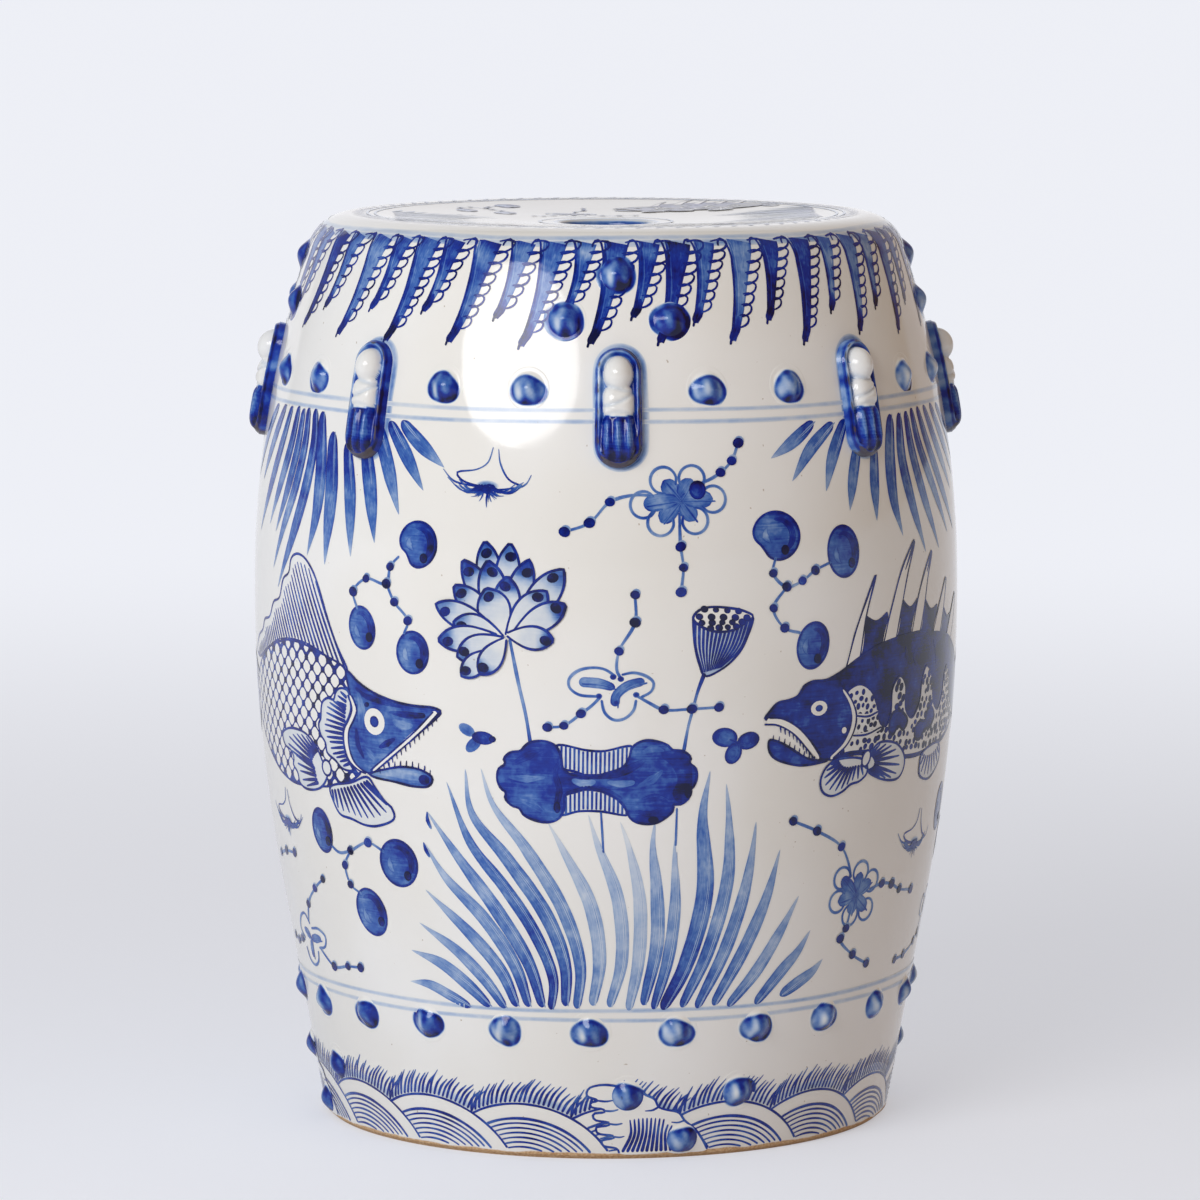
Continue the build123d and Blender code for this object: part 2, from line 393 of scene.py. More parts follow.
    def scales(self, outline, lift):
        """White lozenges in a staggered net over a dark shape, with a dark knot beside each."""
        loop, scale, low, high = self.shape(outline)
        for place in net(low, high, *SCALE_PITCH):
            room = depth(place, loop)
            if room >= 0:
                size = SCALE_SIZE * min(1.0, 0.35 + room / 4.5)
                self.dot(place / scale, size, size, 0.0, lift, rings=1, corner=1.45)
            knot = place + (SCALE_PITCH[0] / 2, 0)
            if depth(knot, loop) >= 0:
                self.dot(knot / scale, 1.8, 1.6, 0.86, lift + 0.01)

    def spots(self, outline, apart, size, ink, lift=DOT):
        """Uneven dots that fill a closed shape."""
        loop, scale, low, high = self.shape(outline)
        for place in net(low, high, apart, apart * 0.86):
            place = place + rng.uniform(-0.22, 0.22, 2) * apart
            big = size * rng.uniform(0.7, 1.15)
            if depth(place, loop) > big * 0.55:
                self.dot(place / scale, big, big * 0.8, ink, lift, tilt=rng.uniform(0, 90), rim=0.05)

    def copy(self, source, centre, size, turn, place):
        """Lays the marks of a painting on the wall here again, smaller and turned."""
        unit = np.array((Wall.scale(np.array((centre,))), 1))
        for places, faces, ink, grain, sheet, lift in source.marks:
            flat = self.surface.turned((places - centre) * unit * size, turn) + place
            self.marks.append((flat, faces, ink, grain, sheet * size, lift))

    def sheets(self):
        """Places the marks side by side on one square of texture, in rows."""
        sizes = [mark[4].max(axis=0) + SHEET_GAP for mark in self.marks]
        side = SHEET_SLACK * math.sqrt(sum(w * h for w, h in sizes))
        side = max(side, max(w for w, _ in sizes))
        corner, row, spots = np.zeros(2), 0.0, [None] * len(sizes)
        for i in sorted(range(len(sizes)), key=lambda i: -sizes[i][1]):
            if corner[0] + sizes[i][0] > side + 1e-6:
                corner = np.array((0.0, corner[1] + row))
                row = 0.0
            spots[i] = corner.copy()
            corner = corner + (sizes[i][0], 0)
            row = max(row, sizes[i][1])
        return spots, max(side, corner[1] + row)

    def build(self, name, turn=0.0):
        """Lays the marks on their surface as one piece."""
        spots, side = self.sheets()
        points, normals, faces, ink, grain, sheet = [], [], [], [], [], []
        start = 0
        for (places, mark_faces, tone, mark_grain, mark_sheet, lift), spot in zip(self.marks, spots):
            point, normal = self.surface.lay(self.surface.turned(places, turn), lift)
            points.append(point)
            normals.append(normal)
            faces += outward(mark_faces, point, normal, start)
            ink.append(tone)
            grain.append(mark_grain)
            sheet.append((mark_sheet + spot + SHEET_GAP / 2) / side)
            start += len(places)
        piece = make_mesh(name, np.vstack(points), faces, np.vstack(normals))
        add_values(piece.data, "ink", np.concatenate(ink))
        add_map(piece.data, "OFBake", np.vstack(sheet))
        add_map(piece.data, "Grain", np.vstack(grain))
        dress(piece, (painted_glaze,))


def outward(faces, point, normal, start):
    """Faces turned to look out of the surface, numbered from start."""
    first = faces[len(faces) // 2]
    a, b, c = (point[i] for i in first[:3])
    flip = np.dot(np.cross(b - a, c - a), normal[first[0]]) < 0
    return [tuple(start + i for i in (f[::-1] if flip else f)) for f in faces]


def make_mesh(name, points, faces, normals=None):
    """A smooth mesh object in metres."""
    mesh = bpy.data.meshes.new(name)
    mesh.from_pydata((np.asarray(points) * MM).tolist(), [], faces)
    mesh.polygons.foreach_set("use_smooth", np.ones(len(mesh.polygons), bool))
    if normals is not None:
        mesh.normals_split_custom_set_from_vertices(np.asarray(normals).tolist())
    mesh.update()
    return add_object(name, mesh)


def add_object(name, data):
    thing = bpy.data.objects.new(name, data)
    bpy.context.scene.collection.objects.link(thing)
    return thing


def dress(piece, materials, nodes=()):
    """Gives a piece its materials and its body, and hides the solids it stands for."""
    for material in materials:
        piece.data.materials.append(material)
    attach(piece, "root")
    if nodes:
        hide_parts(*nodes)


def add_values(mesh, name, values):
    layer = mesh.attributes.new(name, "FLOAT", "POINT")
    layer.data.foreach_set("value", np.asarray(values, np.float32))


def add_map(mesh, name, places):
    layer = mesh.uv_layers.new(name=name)
    corners = np.empty(len(mesh.loops), np.int32)
    mesh.loops.foreach_get("vertex_index", corners)
    layer.data.foreach_set("uv", np.asarray(places, np.float32)[corners].ravel())


# Materials

GLAZE_COLOURS = ((0.790, 0.772, 0.725), (0.830, 0.822, 0.795))
FOOT_CLAYS = ((0.42, 0.23, 0.10), (0.62, 0.43, 0.25))
BARE_CLAYS = ((0.60, 0.49, 0.37), (0.72, 0.63, 0.51))
IRON_SPECK, WORN_EDGE = (0.34, 0.24, 0.15), (0.075, 0.058, 0.050)
GLAZE_IOR = 1.42
INK_TINTS = (
    (0.00, (1.0, 1.0, 1.0)),
    (0.10, (0.80, 0.86, 0.95)),
    (0.26, (0.46, 0.59, 0.84)),
    (0.40, (0.180, 0.320, 0.67)),
    (0.52, (0.050, 0.155, 0.54)),
    (0.68, (0.003, 0.032, 0.38)),
    (0.86, (0.001, 0.011, 0.22)),
    (1.00, (0.0, 0.002, 0.05)),
)


class Nodes:
    """Short calls for the node tree of a material or a world."""

    def __init__(self, owner, shader="Principled BSDF"):
        owner.use_nodes = True
        self.owner = owner
        self.tree = owner.node_tree
        self.shader = self.tree.nodes[shader]

    def make(self, kind, settings=None, **inputs):
        node = self.tree.nodes.new("ShaderNode" + kind)
        for key, value in (settings or {}).items():
            setattr(node, key, value)
        for key, value in inputs.items():
            self.feed(node.inputs[int(key[1:]) if key[0] == "_" else key], value)
        return node

    def feed(self, socket, value):
        if isinstance(value, bpy.types.NodeSocket):
            self.tree.links.new(value, socket)
        else:
            socket.default_value = value

    def math(self, operation, a, b=0.0, clamp=False):
        return self.make("Math", {"operation": operation, "use_clamp": clamp}, _0=a, _1=b).outputs[0]

    def put(self, name, value):
        self.feed(self.shader.inputs[name], value)

    def noise(self, vector, scale, detail=2.0):
        return self.make("TexNoise", None, Vector=vector, Scale=scale, Detail=detail).outputs["Fac"]

    def uneven(self, vector, scale, size, detail=2.0):
        """Noise about zero."""
        return self.math("MULTIPLY", self.math("SUBTRACT", self.noise(vector, scale, detail), 0.5), size)

    def ramp(self, value, stops):
        node = self.make("ValToRGB", None, Fac=value)
        elements = node.color_ramp.elements
        while len(elements) < len(stops):
            elements.new(0.5)
        for element, (at, colour) in zip(elements, stops):
            element.position = at
            element.color = (*colour, 1)
        return node.outputs["Color"]

    def mix(self, factor, a, b, blend="MIX"):
        node = self.make("Mix", {"data_type": "RGBA", "blend_type": blend})
        for socket, value in zip((node.inputs[0], node.inputs[6], node.inputs[7]), (factor, a, b)):
            self.feed(socket, (*value, 1) if isinstance(value, tuple) and len(value) == 3 else value)
        return node.outputs[2]

    def between(self, value, low, high, to_low=0.0, to_high=1.0):
        limits = {"From Min": low, "From Max": high, "To Min": to_low, "To Max": to_high}
        node = self.make("MapRange", {"interpolation_type": "SMOOTHSTEP"}, Value=value, **limits)
        return node.outputs["Result"]

    def place(self):
        return self.make("TexCoord").outputs["Object"]

    def height(self, place):
        return self.make("SeparateXYZ", None, Vector=place).outputs["Z"]

    def bump(self, height, strength, distance):
        node = self.make("Bump", None, Height=height, Strength=strength, Distance=distance)
        return node.outputs["Normal"]


def glaze_colour(nodes, place):
    """Warm white glaze, a little uneven, with a few iron specks."""
    clouds = nodes.noise(place, 9.0)
    colour = nodes.mix(nodes.between(clouds, 0.35, 0.65), *GLAZE_COLOURS)
    specks = nodes.noise(place, 560.0, 0.0)
    return nodes.mix(nodes.between(specks, 0.87, 0.90, 0.0, 0.6), colour, IRON_SPECK)


def ink_tint(nodes, place, grain_depth):
    """Cobalt that thins and pools with the brush, from the marks' ink value."""
    ink = nodes.make("Attribute", {"attribute_name": "ink"}).outputs["Fac"]
    change = nodes.math("ADD", nodes.uneven(place, 85.0, 1.05, 3.0), nodes.uneven(place, 420.0, 0.35))
    if grain_depth:
        grain = nodes.make("UVMap", {"uv_map": "Grain"}).outputs["UV"]
        stretched = nodes.make("Mapping", None, Vector=grain, Scale=(0.9, 2.6, 1.0)).outputs["Vector"]
        change = nodes.math("ADD", change, nodes.uneven(stretched, 2.2, grain_depth))
        side = nodes.make("SeparateXYZ", None, Vector=grain).outputs["Y"]
        edge = nodes.between(nodes.math("ABSOLUTE", side), 0.55, 1.0, 0.0, 0.16)
        change = nodes.math("ADD", change, edge)
    tone = nodes.math("MULTIPLY", ink, nodes.math("ADD", change, 1.0), clamp=True)
    return nodes.ramp(tone, INK_TINTS)


def painted(nodes, place, grain_depth):
    """Glaze over the cobalt."""
    return nodes.mix(1.0, glaze_colour(nodes, place), ink_tint(nodes, place, grain_depth), "MULTIPLY")


def glossy(nodes, place, roughness=(0.05, 0.11)):
    """The gloss of a fired glaze: slightly wavy, with fine orange peel."""
    nodes.put("Roughness", nodes.between(nodes.noise(place, 30.0), 0.3, 0.7, *roughness))
    waves = nodes.noise(place, 16.0, 1.0)
    peel = nodes.noise(place, 190.0, 1.0)
    height = nodes.math("ADD", waves, nodes.math("MULTIPLY", peel, 0.035))
    nodes.put("Normal", nodes.bump(height, 0.30, 0.0022))
    nodes.put("IOR", GLAZE_IOR)


def make_painted_glaze():
    nodes = Nodes(bpy.data.materials.new("painted_glaze"))
    place = nodes.place()
    nodes.put("Base Color", painted(nodes, place, 0.55))
    glossy(nodes, place)
    return nodes.owner


def make_sprig_glaze():
    """Glaze on the lugs and nails: thicker cobalt, and clay showing brown on worn edges."""
    nodes = Nodes(bpy.data.materials.new("sprig_glaze"))
    place = nodes.place()
    worn = nodes.make("Attribute", {"attribute_name": "worn"}).outputs["Fac"]
    ragged = nodes.math("ADD", worn, nodes.uneven(place, 260.0, 0.9))
    bare = nodes.between(ragged, 0.42, 0.75, 0.0, 0.85)
    nodes.put("Base Color", nodes.mix(bare, painted(nodes, place, 0.0), WORN_EDGE))
    glossy(nodes, place, (0.06, 0.16))
    return nodes.owner


def make_foot_clay():
    """Foot ring: glaze above, a ragged bare edge of fired clay below."""
    nodes = Nodes(bpy.data.materials.new("foot_clay"))
    place = nodes.place()
    edge = nodes.math("ADD", nodes.height(place), nodes.uneven(place, 55.0, 0.0035, 4.0))
    glazed = nodes.between(edge, 0.0026, 0.0034)
    grit = nodes.noise(place, 900.0, 3.0)
    clay = nodes.mix(nodes.between(grit, 0.3, 0.7), *FOOT_CLAYS)
    nodes.put("Base Color", nodes.mix(glazed, clay, glaze_colour(nodes, place)))
    nodes.put("Roughness", nodes.between(glazed, 0.0, 1.0, 0.85, 0.09))
    nodes.put("Normal", nodes.bump(grit, 0.25, 0.0003))
    return nodes.owner


def make_bare_clay():
    """Unglazed inside of the barrel, with the rings of the throwing."""
    nodes = Nodes(bpy.data.materials.new("bare_clay"))
    place = nodes.place()
    grit = nodes.noise(place, 700.0, 3.0)
    clouds = nodes.noise(place, 14.0, 3.0)
    nodes.put("Base Color", nodes.mix(nodes.between(clouds, 0.3, 0.7), *BARE_CLAYS))
    nodes.put("Roughness", nodes.between(grit, 0.3, 0.7, 0.75, 0.95))
    rings = nodes.math("SINE", nodes.math("MULTIPLY", nodes.height(place), 700.0))
    relief = nodes.math("ADD", nodes.math("MULTIPLY", rings, 0.3), grit)
    nodes.put("Normal", nodes.bump(relief, 0.3, 0.0006))
    return nodes.owner


painted_glaze = make_painted_glaze()
sprig_glaze = make_sprig_glaze()
foot_clay = make_foot_clay()
bare_clay = make_bare_clay()


# The thrown pieces


def turned_piece(name, node, runs, materials):
    """A closed body of revolution. Each run is a list of (radius, height) and a material number."""
    profile, kinds = [], []
    for points, kind in runs:
        points = list(points)[1 if profile else 0:]
        profile += points
        kinds += [kind] * len(points)
    if np.hypot(*np.subtract(profile[0], profile[-1])) < 1e-6:
        profile.pop()
    ring = np.array(profile, float)
    count = len(ring)
    radius, height = ring.T
    angle = np.radians(np.arange(SEGMENTS) * 360 / SEGMENTS)[:, None]
    points = np.stack(np.broadcast_arrays(np.sin(angle) * radius, -np.cos(angle) * radius, height), 2)
    i, j = (index.ravel() for index in np.indices((SEGMENTS, count)))
    around, along = join(i, i, i + 1, i + 1), join(j, j + 1, j + 1, j)
    if np.sum(radius * np.roll(height, -1) - np.roll(radius, -1) * height) < 0:
        around, along = around[:, ::-1], along[:, ::-1]
    faces = around % SEGMENTS * count + along % count
    piece = make_mesh(name, points.reshape(-1, 3), faces.tolist())
    face_kinds = np.tile([kinds[(j + 1) % count] for j in range(count)], SEGMENTS)
    piece.data.polygons.foreach_set("material_index", np.asarray(face_kinds, np.int32))
    piece.data.set_sharp_from_angle(angle=SHARP_ANGLE)
    run = run_length(np.vstack((ring, ring[:1])))
    sheet = np.stack((around / SEGMENTS, run[along] / run[-1]), 2)
    layer = piece.data.uv_layers.new(name="OFBake")
    layer.data.foreach_set("uv", sheet.astype(np.float32).ravel())
    add_values(piece.data, "ink", np.zeros(len(piece.data.vertices)))
    piece.data.uv_layers.new(name="Grain")
    dress(piece, materials, (node,))
    return piece


def wall_line(low, high, count, inset=0.0):
    heights = np.linspace(low, high, count)
    return list(zip(wall_radius(heights, inset), heights))


def make_barrel():
    halves = (("upper_barrel", BELLY_HEIGHT, seam_height), ("lower_barrel", FOOT_HEIGHT, BELLY_HEIGHT))
    for node, low, high in halves:
        outer = wall_line(low, high, 100)
        inner = wall_line(high, low, 40, WALL)
        runs = [(outer, 0), ([outer[-1], inner[0]], 1), (inner, 1), ([inner[-1], outer[0]], 1)]
        turned_piece(node + "_glazed", node, runs, (painted_glaze, bare_clay))


HOLE_LINE, HOLE_WALL_INK, HOLE_WASH = 0.50, 0.44, 0.06


def arc(radius, height, curve, start, end, count):
    """Points of a profile's rounding, from one angle above the horizon to another."""
    turns = np.linspace(start, end, count)
    return [(radius + curve * math.cos(a), height + curve * math.sin(a)) for a in turns]


def make_seat():
    lip = HOLE_RADIUS + HOLE_ROUND
    lip_low = float(seat_height(lip)) - HOLE_ROUND
    hole = [(HOLE_RADIUS, seam_height), (HOLE_RADIUS, lip_low)]
    hole_lip = arc(lip, lip_low, HOLE_ROUND, math.pi, math.pi / 2, 9)
    dish = [(r, float(seat_height(r))) for r in np.linspace(lip, dish_radius, 60)]
    land = [dish[-1], (rim_centre, HEIGHT)]
    seam_lean = math.asin((seam_height - rim_height) / RIM_ROUND)
    rim = arc(rim_centre, rim_height, RIM_ROUND, math.pi / 2, seam_lean, 24)
    under = [rim[-1], (HOLE_RADIUS, seam_height)]
    runs = [(hole, 0), (hole_lip, 0), (dish, 0), (land, 0), (rim, 0), (under, 1)]
    piece = turned_piece("seat_slab_glazed", "seat_slab", runs, (painted_glaze, bare_clay))
    across = np.array([v.co.xy.length for v in piece.data.vertices]) / MM
    tone = HOLE_WASH * (1 - rise(across, lip, lip + 1)) + HOLE_LINE * bell(across, lip + 0.4, 0.9)
    # Darker down the wall of the hole and the foot of its lip
    tone = tone + HOLE_WALL_INK * (1 - rise(across, HOLE_RADIUS + 0.1, HOLE_RADIUS + 1.2))
    piece.data.attributes["ink"].data.foreach_set("value", tone.astype(np.float32))


def make_foot():
    foot_radius = float(wall_radius(0))
    outer = [(foot_radius - FOOT_CHAMFER, 0), *wall_line(FOOT_CHAMFER, FOOT_HEIGHT, 8)]
    inner = foot_radius - FOOT_WIDTH
    rest = [outer[-1], (inner, FOOT_HEIGHT), (inner, 0), outer[0]]
    runs = [(outer, 0), (rest, 1)]
    turned_piece("foot_ring_fired", "foot_ring", runs, (foot_clay, bare_clay))


make_barrel()
make_seat()
make_foot()

# The moulded sprigs


def soft_max(*fields, blend=0.5):
    """Greatest of some height fields, with rounded joins of about the blend's width."""
    return blend * np.log(np.sum([np.exp(np.minimum(f, 40) / blend) for f in fields], axis=0))


def sprig_mesh(name, parts, node):
    """One piece of raised clay from (places, faces, heights, ink, worn, sheet) parts."""
    points, faces, ink, worn, sheet = [], [], [], [], []
    start = 0
    columns = math.ceil(math.sqrt(len(parts)))
    for i, (places, part_faces, height, tone, bare, flat) in enumerate(parts):
        point, normal = Wall.lay(places, height)
        points.append(point)
        faces += outward(part_faces, point, normal, start)
        ink.append(tone)
        worn.append(bare)
        cell = np.array((i % columns, i // columns))
        sheet.append((cell + SPRIG_MARGIN + (1 - 2 * SPRIG_MARGIN) * flat) / columns)
        start += len(places)
    piece = make_mesh(name, np.vstack(points), faces)
    add_values(piece.data, "ink", np.clip(np.concatenate(ink), 0, 1))
    add_values(piece.data, "worn", np.concatenate(worn))
    add_map(piece.data, "OFBake", np.vstack(sheet))
    dress(piece, (sprig_glaze,), (node,))
    return piece


NAIL_LEVELS = np.concatenate((np.linspace(0.06, 1.0, 15), (1.05, 1.1, 1.15, 1.2, 1.26, 1.3)))
NAIL_SIDES = 48
UPPER_ROW = 382.0
LOWER_ROW, LOWER_COUNT, LOWER_START = 66.0, 23, 10.8
SHOULDER_CLUSTER, SHOULDER_LOOK = ((0, 436.5), (-9.2, 415.0), (9.2, 415.0)), (1.12, 0.60)
FOOT_CLUSTER, FOOT_LOOK = ((0, 10.0), (-10.8, 33.0), (10.8, 33.0)), (0.93, 0.56)
FOOT_START = 12.9

# Nails that reach the chamfer of the foot are squeezed to stay above it
LOW_EDGE, LOW_SQUEEZE = 3.5, 0.34


def nail_part(angle, height, bare_edge=0.93, ink=0.48):
    """A drum nail: a low dome that runs out into the wall, under a brushed blot of cobalt with painted
    highlight and shade.
    """
    rings = len(NAIL_LEVELS)
    around = np.linspace(0, 2 * math.pi, NAIL_SIDES, endpoint=False)
    level = np.concatenate(([0.0], np.repeat(NAIL_LEVELS, NAIL_SIDES)))
    turn = np.concatenate(([0.0], np.tile(around, rings)))
    x, y = level * np.cos(turn), level * np.sin(turn)
    lift = NAIL_RISE * np.cos(np.minimum(level, 1) * math.pi / 2) ** 1.35 + 0.05
    lift = np.where(level > NAIL_LEVELS[-2], -0.2, lift)
    right, up = x - rng.uniform(-0.08, 0.08), y + rng.uniform(0.06, 0.18)
    bearing = np.arctan2(up, right)
    ragged = 1 + 0.06 * np.sin(2 * bearing + rng.uniform(0, 6))
    ragged = ragged + 0.05 * np.sin(3 * bearing + rng.uniform(0, 6))
    edge = np.hypot(right / 1.10, up / 0.92) / ragged
    streaks = np.sin(right * 8 + up * 1.5 + rng.uniform(0, 6)) * np.sin(up * 2.2 + rng.uniform(0, 6))
    # Lighter on the left, a painted highlight, and darker towards the right, painted shade; a dark patch
    # sits low on the blot
    tone = ink + rng.uniform(-0.06, 0.08) + 0.16 * streaks + 0.12 * right
    tone = tone + 0.20 * bell(edge, 0.88, 0.12) - 0.24 * bell(right, -0.34, 0.24) * bell(up, -0.05, 0.5)
    side = rng.uniform(-0.1, 0.5)
    tone = tone + 0.50 * bell(right, side, 0.36) * bell(up, -0.66, 0.24)
    tone = tone * (1 - rise(edge, bare_edge, bare_edge + 0.13))
    places = np.array((angle, height)) + join(x, y) * NAIL_RADIUS * (degrees(1.0, height), 1)
    low = places[:, 1]
    places[:, 1] = np.where(low < LOW_EDGE, LOW_EDGE - (LOW_EDGE - low) * LOW_SQUEEZE, low)
    return places, disc_faces(rings, NAIL_SIDES), lift, tone, np.zeros(len(level)), 0.5 + join(x, y) / 2.7


def make_nails():
    def clusters(start, nails, look):
        return [(start + 90 * k + aside, z, *look) for k in range(4) for aside, z in nails]

    groups = {
        "upper_row_nails": [(45 * k + aside, UPPER_ROW) for k in range(8) for aside in (15, 30)],
        "lower_row_nails": [(LOWER_START + k * 360 / LOWER_COUNT, LOWER_ROW) for k in range(LOWER_COUNT)],
        "shoulder_nails": clusters(0, SHOULDER_CLUSTER, SHOULDER_LOOK),
        "foot_nails": clusters(FOOT_START, FOOT_CLUSTER, FOOT_LOOK),
    }
    for node, nails in groups.items():
        sprig_mesh(node + "_glazed", [nail_part(*nail) for nail in nails], node)


def lug_relief(a, b, inset):
    """Height, ink and wear of a lug: a plaque with a thin raised rim and a smooth robed figure."""
    ridge = bell(inset, 1.9, 0.8)
    plaque = 4.4 * np.sqrt(1 - (1 - np.clip(inset / 2.2, 0, 1)) ** 2)
    plaque = plaque + 0.7 * ridge - 1.5 * rise(inset, 2.8, 4.2) * rise(b, -16, -8)
    head = 2.2 + 9.2 * np.sqrt(np.clip(1 - (a / 7.3) ** 2 - ((b - 16.0) / 8.9) ** 2, 0, 1))
    body = np.clip(1 - np.abs(a / 7.6) ** 3 - np.abs((b - 2.2) / 9.2) ** 3, 0, 1)
    collar = bell(b, 8.4 - 0.30 * a + 0.02 * a**2, 1.0)
    sleeve = bell(b, 2.2 + 0.42 * a + 0.03 * a**2, 0.9)
    hem = bell(b, -2.6 - 0.05 * a**2, 0.8)
    body = 2.0 + 7.2 * np.sqrt(body) - (0.9 * collar + 1.2 * sleeve + 0.8 * hem) * (body > 0)
    wide = 7.4 + 0.06 * np.clip(-b, 0, 30)
    skirt = np.clip(1 - np.abs(a / wide) ** 3 - np.abs((b + 14.5) / 12.5) ** 4, 0, 1)
    flutes = np.cos(a * (2 * math.pi / 5.2) + 0.6) * rise(-b, 3, 8)
    skirt = 2.4 + 6.0 * np.sqrt(skirt) + 0.65 * flutes * np.minimum(skirt * 4, 1)
    height = soft_max(plaque, head, body, skirt)
    under = soft_max(plaque, skirt)
    white = np.maximum(rise(head - under, 0.1, 0.9), rise(body - under, 0.0, 1.0))
    white = white * rise(b + 0.12 * a, -6.6, -4.6)
    upper = rise(b, -12, 4)
    # The border is darker towards the right, painted shade
    border = 0.54 - 0.10 * upper + 0.20 * rise(a, -5, 8)
    border = border + 0.16 * bell(inset, 3.1, 0.6) + 0.34 * bell(inset, 1.0, 0.5)
    border = border - 0.22 * ridge * upper + 0.15 * np.sin(b * 0.55 + a * 0.3) * np.cos(b * 0.21 - a * 0.4)
    # The skirt is lighter on the crests of its flutes, a painted highlight, and darker between them and
    # towards its foot
    folds = 0.64 - 0.16 * np.clip(flutes, -1, 1) + 0.34 * rise(-b, 16, 24) + 0.10 * bell(b, -5.5, 1.5)
    folds = folds + 0.09 * np.sin(a * 3.1 + b * 2.3 + np.sin(b * 1.3)) * np.sin(b * 1.9 - a * 2.7)
    tone = np.where(skirt > np.maximum(plaque, 2.6), folds, border)
    shadow = 0.10 * (collar + sleeve) + 0.05 * hem
    tone = tone * (1 - white) + white * (0.02 + shadow)
    worn = 0.90 * bell(inset, 1.7, 0.55) * (0.7 + 0.3 * np.sin(b * 0.5 + a))
    worn = worn + 0.80 * rise(-b, 21, 28) * (1 - rise(inset, 1.4, 3.2))
    return height, tone, worn


LUG_SIDE, LUG_BEND, LUG_RINGS = 46, 32, 22
RIM_INSETS = (-0.25, 0.0, 0.1, 0.3, 0.6, 1.0, 1.5, 2.1, 2.8)
HALO_REACH, HALO_WIDTH = 0.2, 4.0
lug_half = LUG_WIDTH / 2
lug_straight = LUG_LENGTH / 2 - lug_half
lug_slope = math.cos(wall_lean(LUG_HEIGHT))


def lug_part(angle):
    """A lug as rings of points from its outline in to its middle line."""
    side = np.linspace(-lug_straight, lug_straight, LUG_SIDE)
    bend = np.linspace(0, math.pi, LUG_BEND + 2)[1:-1]
    end = np.full(LUG_BEND, lug_straight)
    spine = np.concatenate((side, end, side[::-1], -end))
    out = np.concatenate((np.zeros(LUG_SIDE), bend, np.full(LUG_SIDE, math.pi), math.pi + bend))
    insets = np.concatenate((RIM_INSETS, np.linspace(3.4, lug_half, LUG_RINGS)))
    reach = (lug_half - insets)[:, None]
    a = reach * np.cos(out)
    b = spine + reach * np.sin(out)
    inset = np.broadcast_to(insets[:, None], a.shape)
    height, tone, worn = (f.ravel() for f in lug_relief(a, b, inset))
    height = np.where(inset.ravel() < 0, -0.25, np.maximum(height * (inset.ravel() > 0), 0.0))
    a, b = a.ravel(), b.ravel()
    places = join(angle + a * degrees(1.0, LUG_HEIGHT), LUG_HEIGHT + b * lug_slope)
    flat = 0.5 + join(a, b) / (LUG_LENGTH + 2)
    return places, grid_faces(len(insets), len(out), True), height, tone, worn, flat


def lug_halo(paint, angle):
    """Blue that ran out on the wall round a lug."""
    half = lug_half + HALO_REACH
    path = []
    for t in np.radians(np.arange(0, 360, 15)):
        up = lug_straight * np.sign(round(math.sin(t), 6)) + half * math.sin(t)
        path.append(shifted((angle, LUG_HEIGHT), 1.2 + half * math.cos(t), 0.5 + up * lug_slope))
    tones = 0.36 + rng.uniform(-0.14, 0.14, 12)
    paint.stroke(path, HALO_WIDTH + rng.uniform(-0.8, 0.8, 9), tones, HALO, 5, closed=True, soft=0.8)


def make_lugs():
    halos = Painting()
    for n in range(LUG_COUNT):
        node = "lug_%d" % (n + 1)
        angle = n * 360 / LUG_COUNT
        weld(sprig_mesh(node + "_figure", [lug_part(angle)], node))
        lug_halo(halos, angle)
    halos.build("lug_halos")


def weld(piece, distance=0.02):
    """Joins the points that fall together, such as along a lug's middle."""
    body = bmesh.new()
    body.from_mesh(piece.data)
    bmesh.ops.remove_doubles(body, verts=body.verts, dist=distance * MM)
    body.to_mesh(piece.data)
    body.free()


make_lugs()
make_nails()

# Painted borders

RING_LINES = ((371.9, 0.21), (366.3, 0.23), (76.5, 0.24), (71.6, 0.22), (453.0, 0.20))
ALL_ROUND = range(-180, 181, 6)


def paint_rings():
    """The pairs of thin lines round the shoulder and above the foot, and one under the seat."""
    paint = Painting()
    for height, ink in RING_LINES:
        tones = ink + rng.uniform(-0.05, 0.05, 40)
        path = [(a, height + 0.3 * math.sin(a * 0.11 + height)) for a in ALL_ROUND]
        paint.stroke(path, 2.3 + rng.uniform(-0.3, 0.3, 40), tones, WASH, 5, 2.5, blunt=True, soft=0.75)
    paint.build("ring_lines")


FEATHER_TIPS = (
    (-71, 405), (-63.5, 415), (-57, 403), (-49, 416.5), (-44, 402), (-36.5, 417), (-30.5, 403), (-22, 415),
    (-17, 402), (-9.5, 419), (-5, 403.5), (2.5, 416), (7, 404), (13.5, 413), (20, 404), (27.5, 413),
    (34.5, 402), (42, 416), (48.5, 405), (55, 416), (61.5, 403),
)
FEATHER_COUNT, FEATHER_TOP = 54, 451.0
FEATHER_WIDTHS = np.array((13.4, 11.4, 9.4, 7.8, 6.6, 5.6, 4.7, 3.8, 2.6))
FEATHER_STEPS = np.linspace(0, 1, len(FEATHER_WIDTHS))
FEATHER_HOOK = ((-5.2, -2.0), (-4.2, 0.6), (-1.6, 0.9))
LONG_FEATHER = 409
SCALLOP, SCALLOP_REACH = 5.3, 7.6
SCALLOP_BEND = np.radians((98, 60, 15, -35, -80, -106))


def feather_tips():
    """The leaves that the photograph shows, carried on evenly round the back."""
    tips = list(FEATHER_TIPS)
    rest = FEATHER_COUNT - len(tips)
    gap = (tips[0][0] + 360 - tips[-1][0]) / (rest + 1)
    for k in range(1, rest + 1):
        low = (415.5 if k % 2 else 403.5) + rng.uniform(-1.5, 1.5)
        tips.append((tips[len(FEATHER_TIPS) - 1][0] + gap * k + rng.uniform(-0.7, 0.7), low))
    return tips


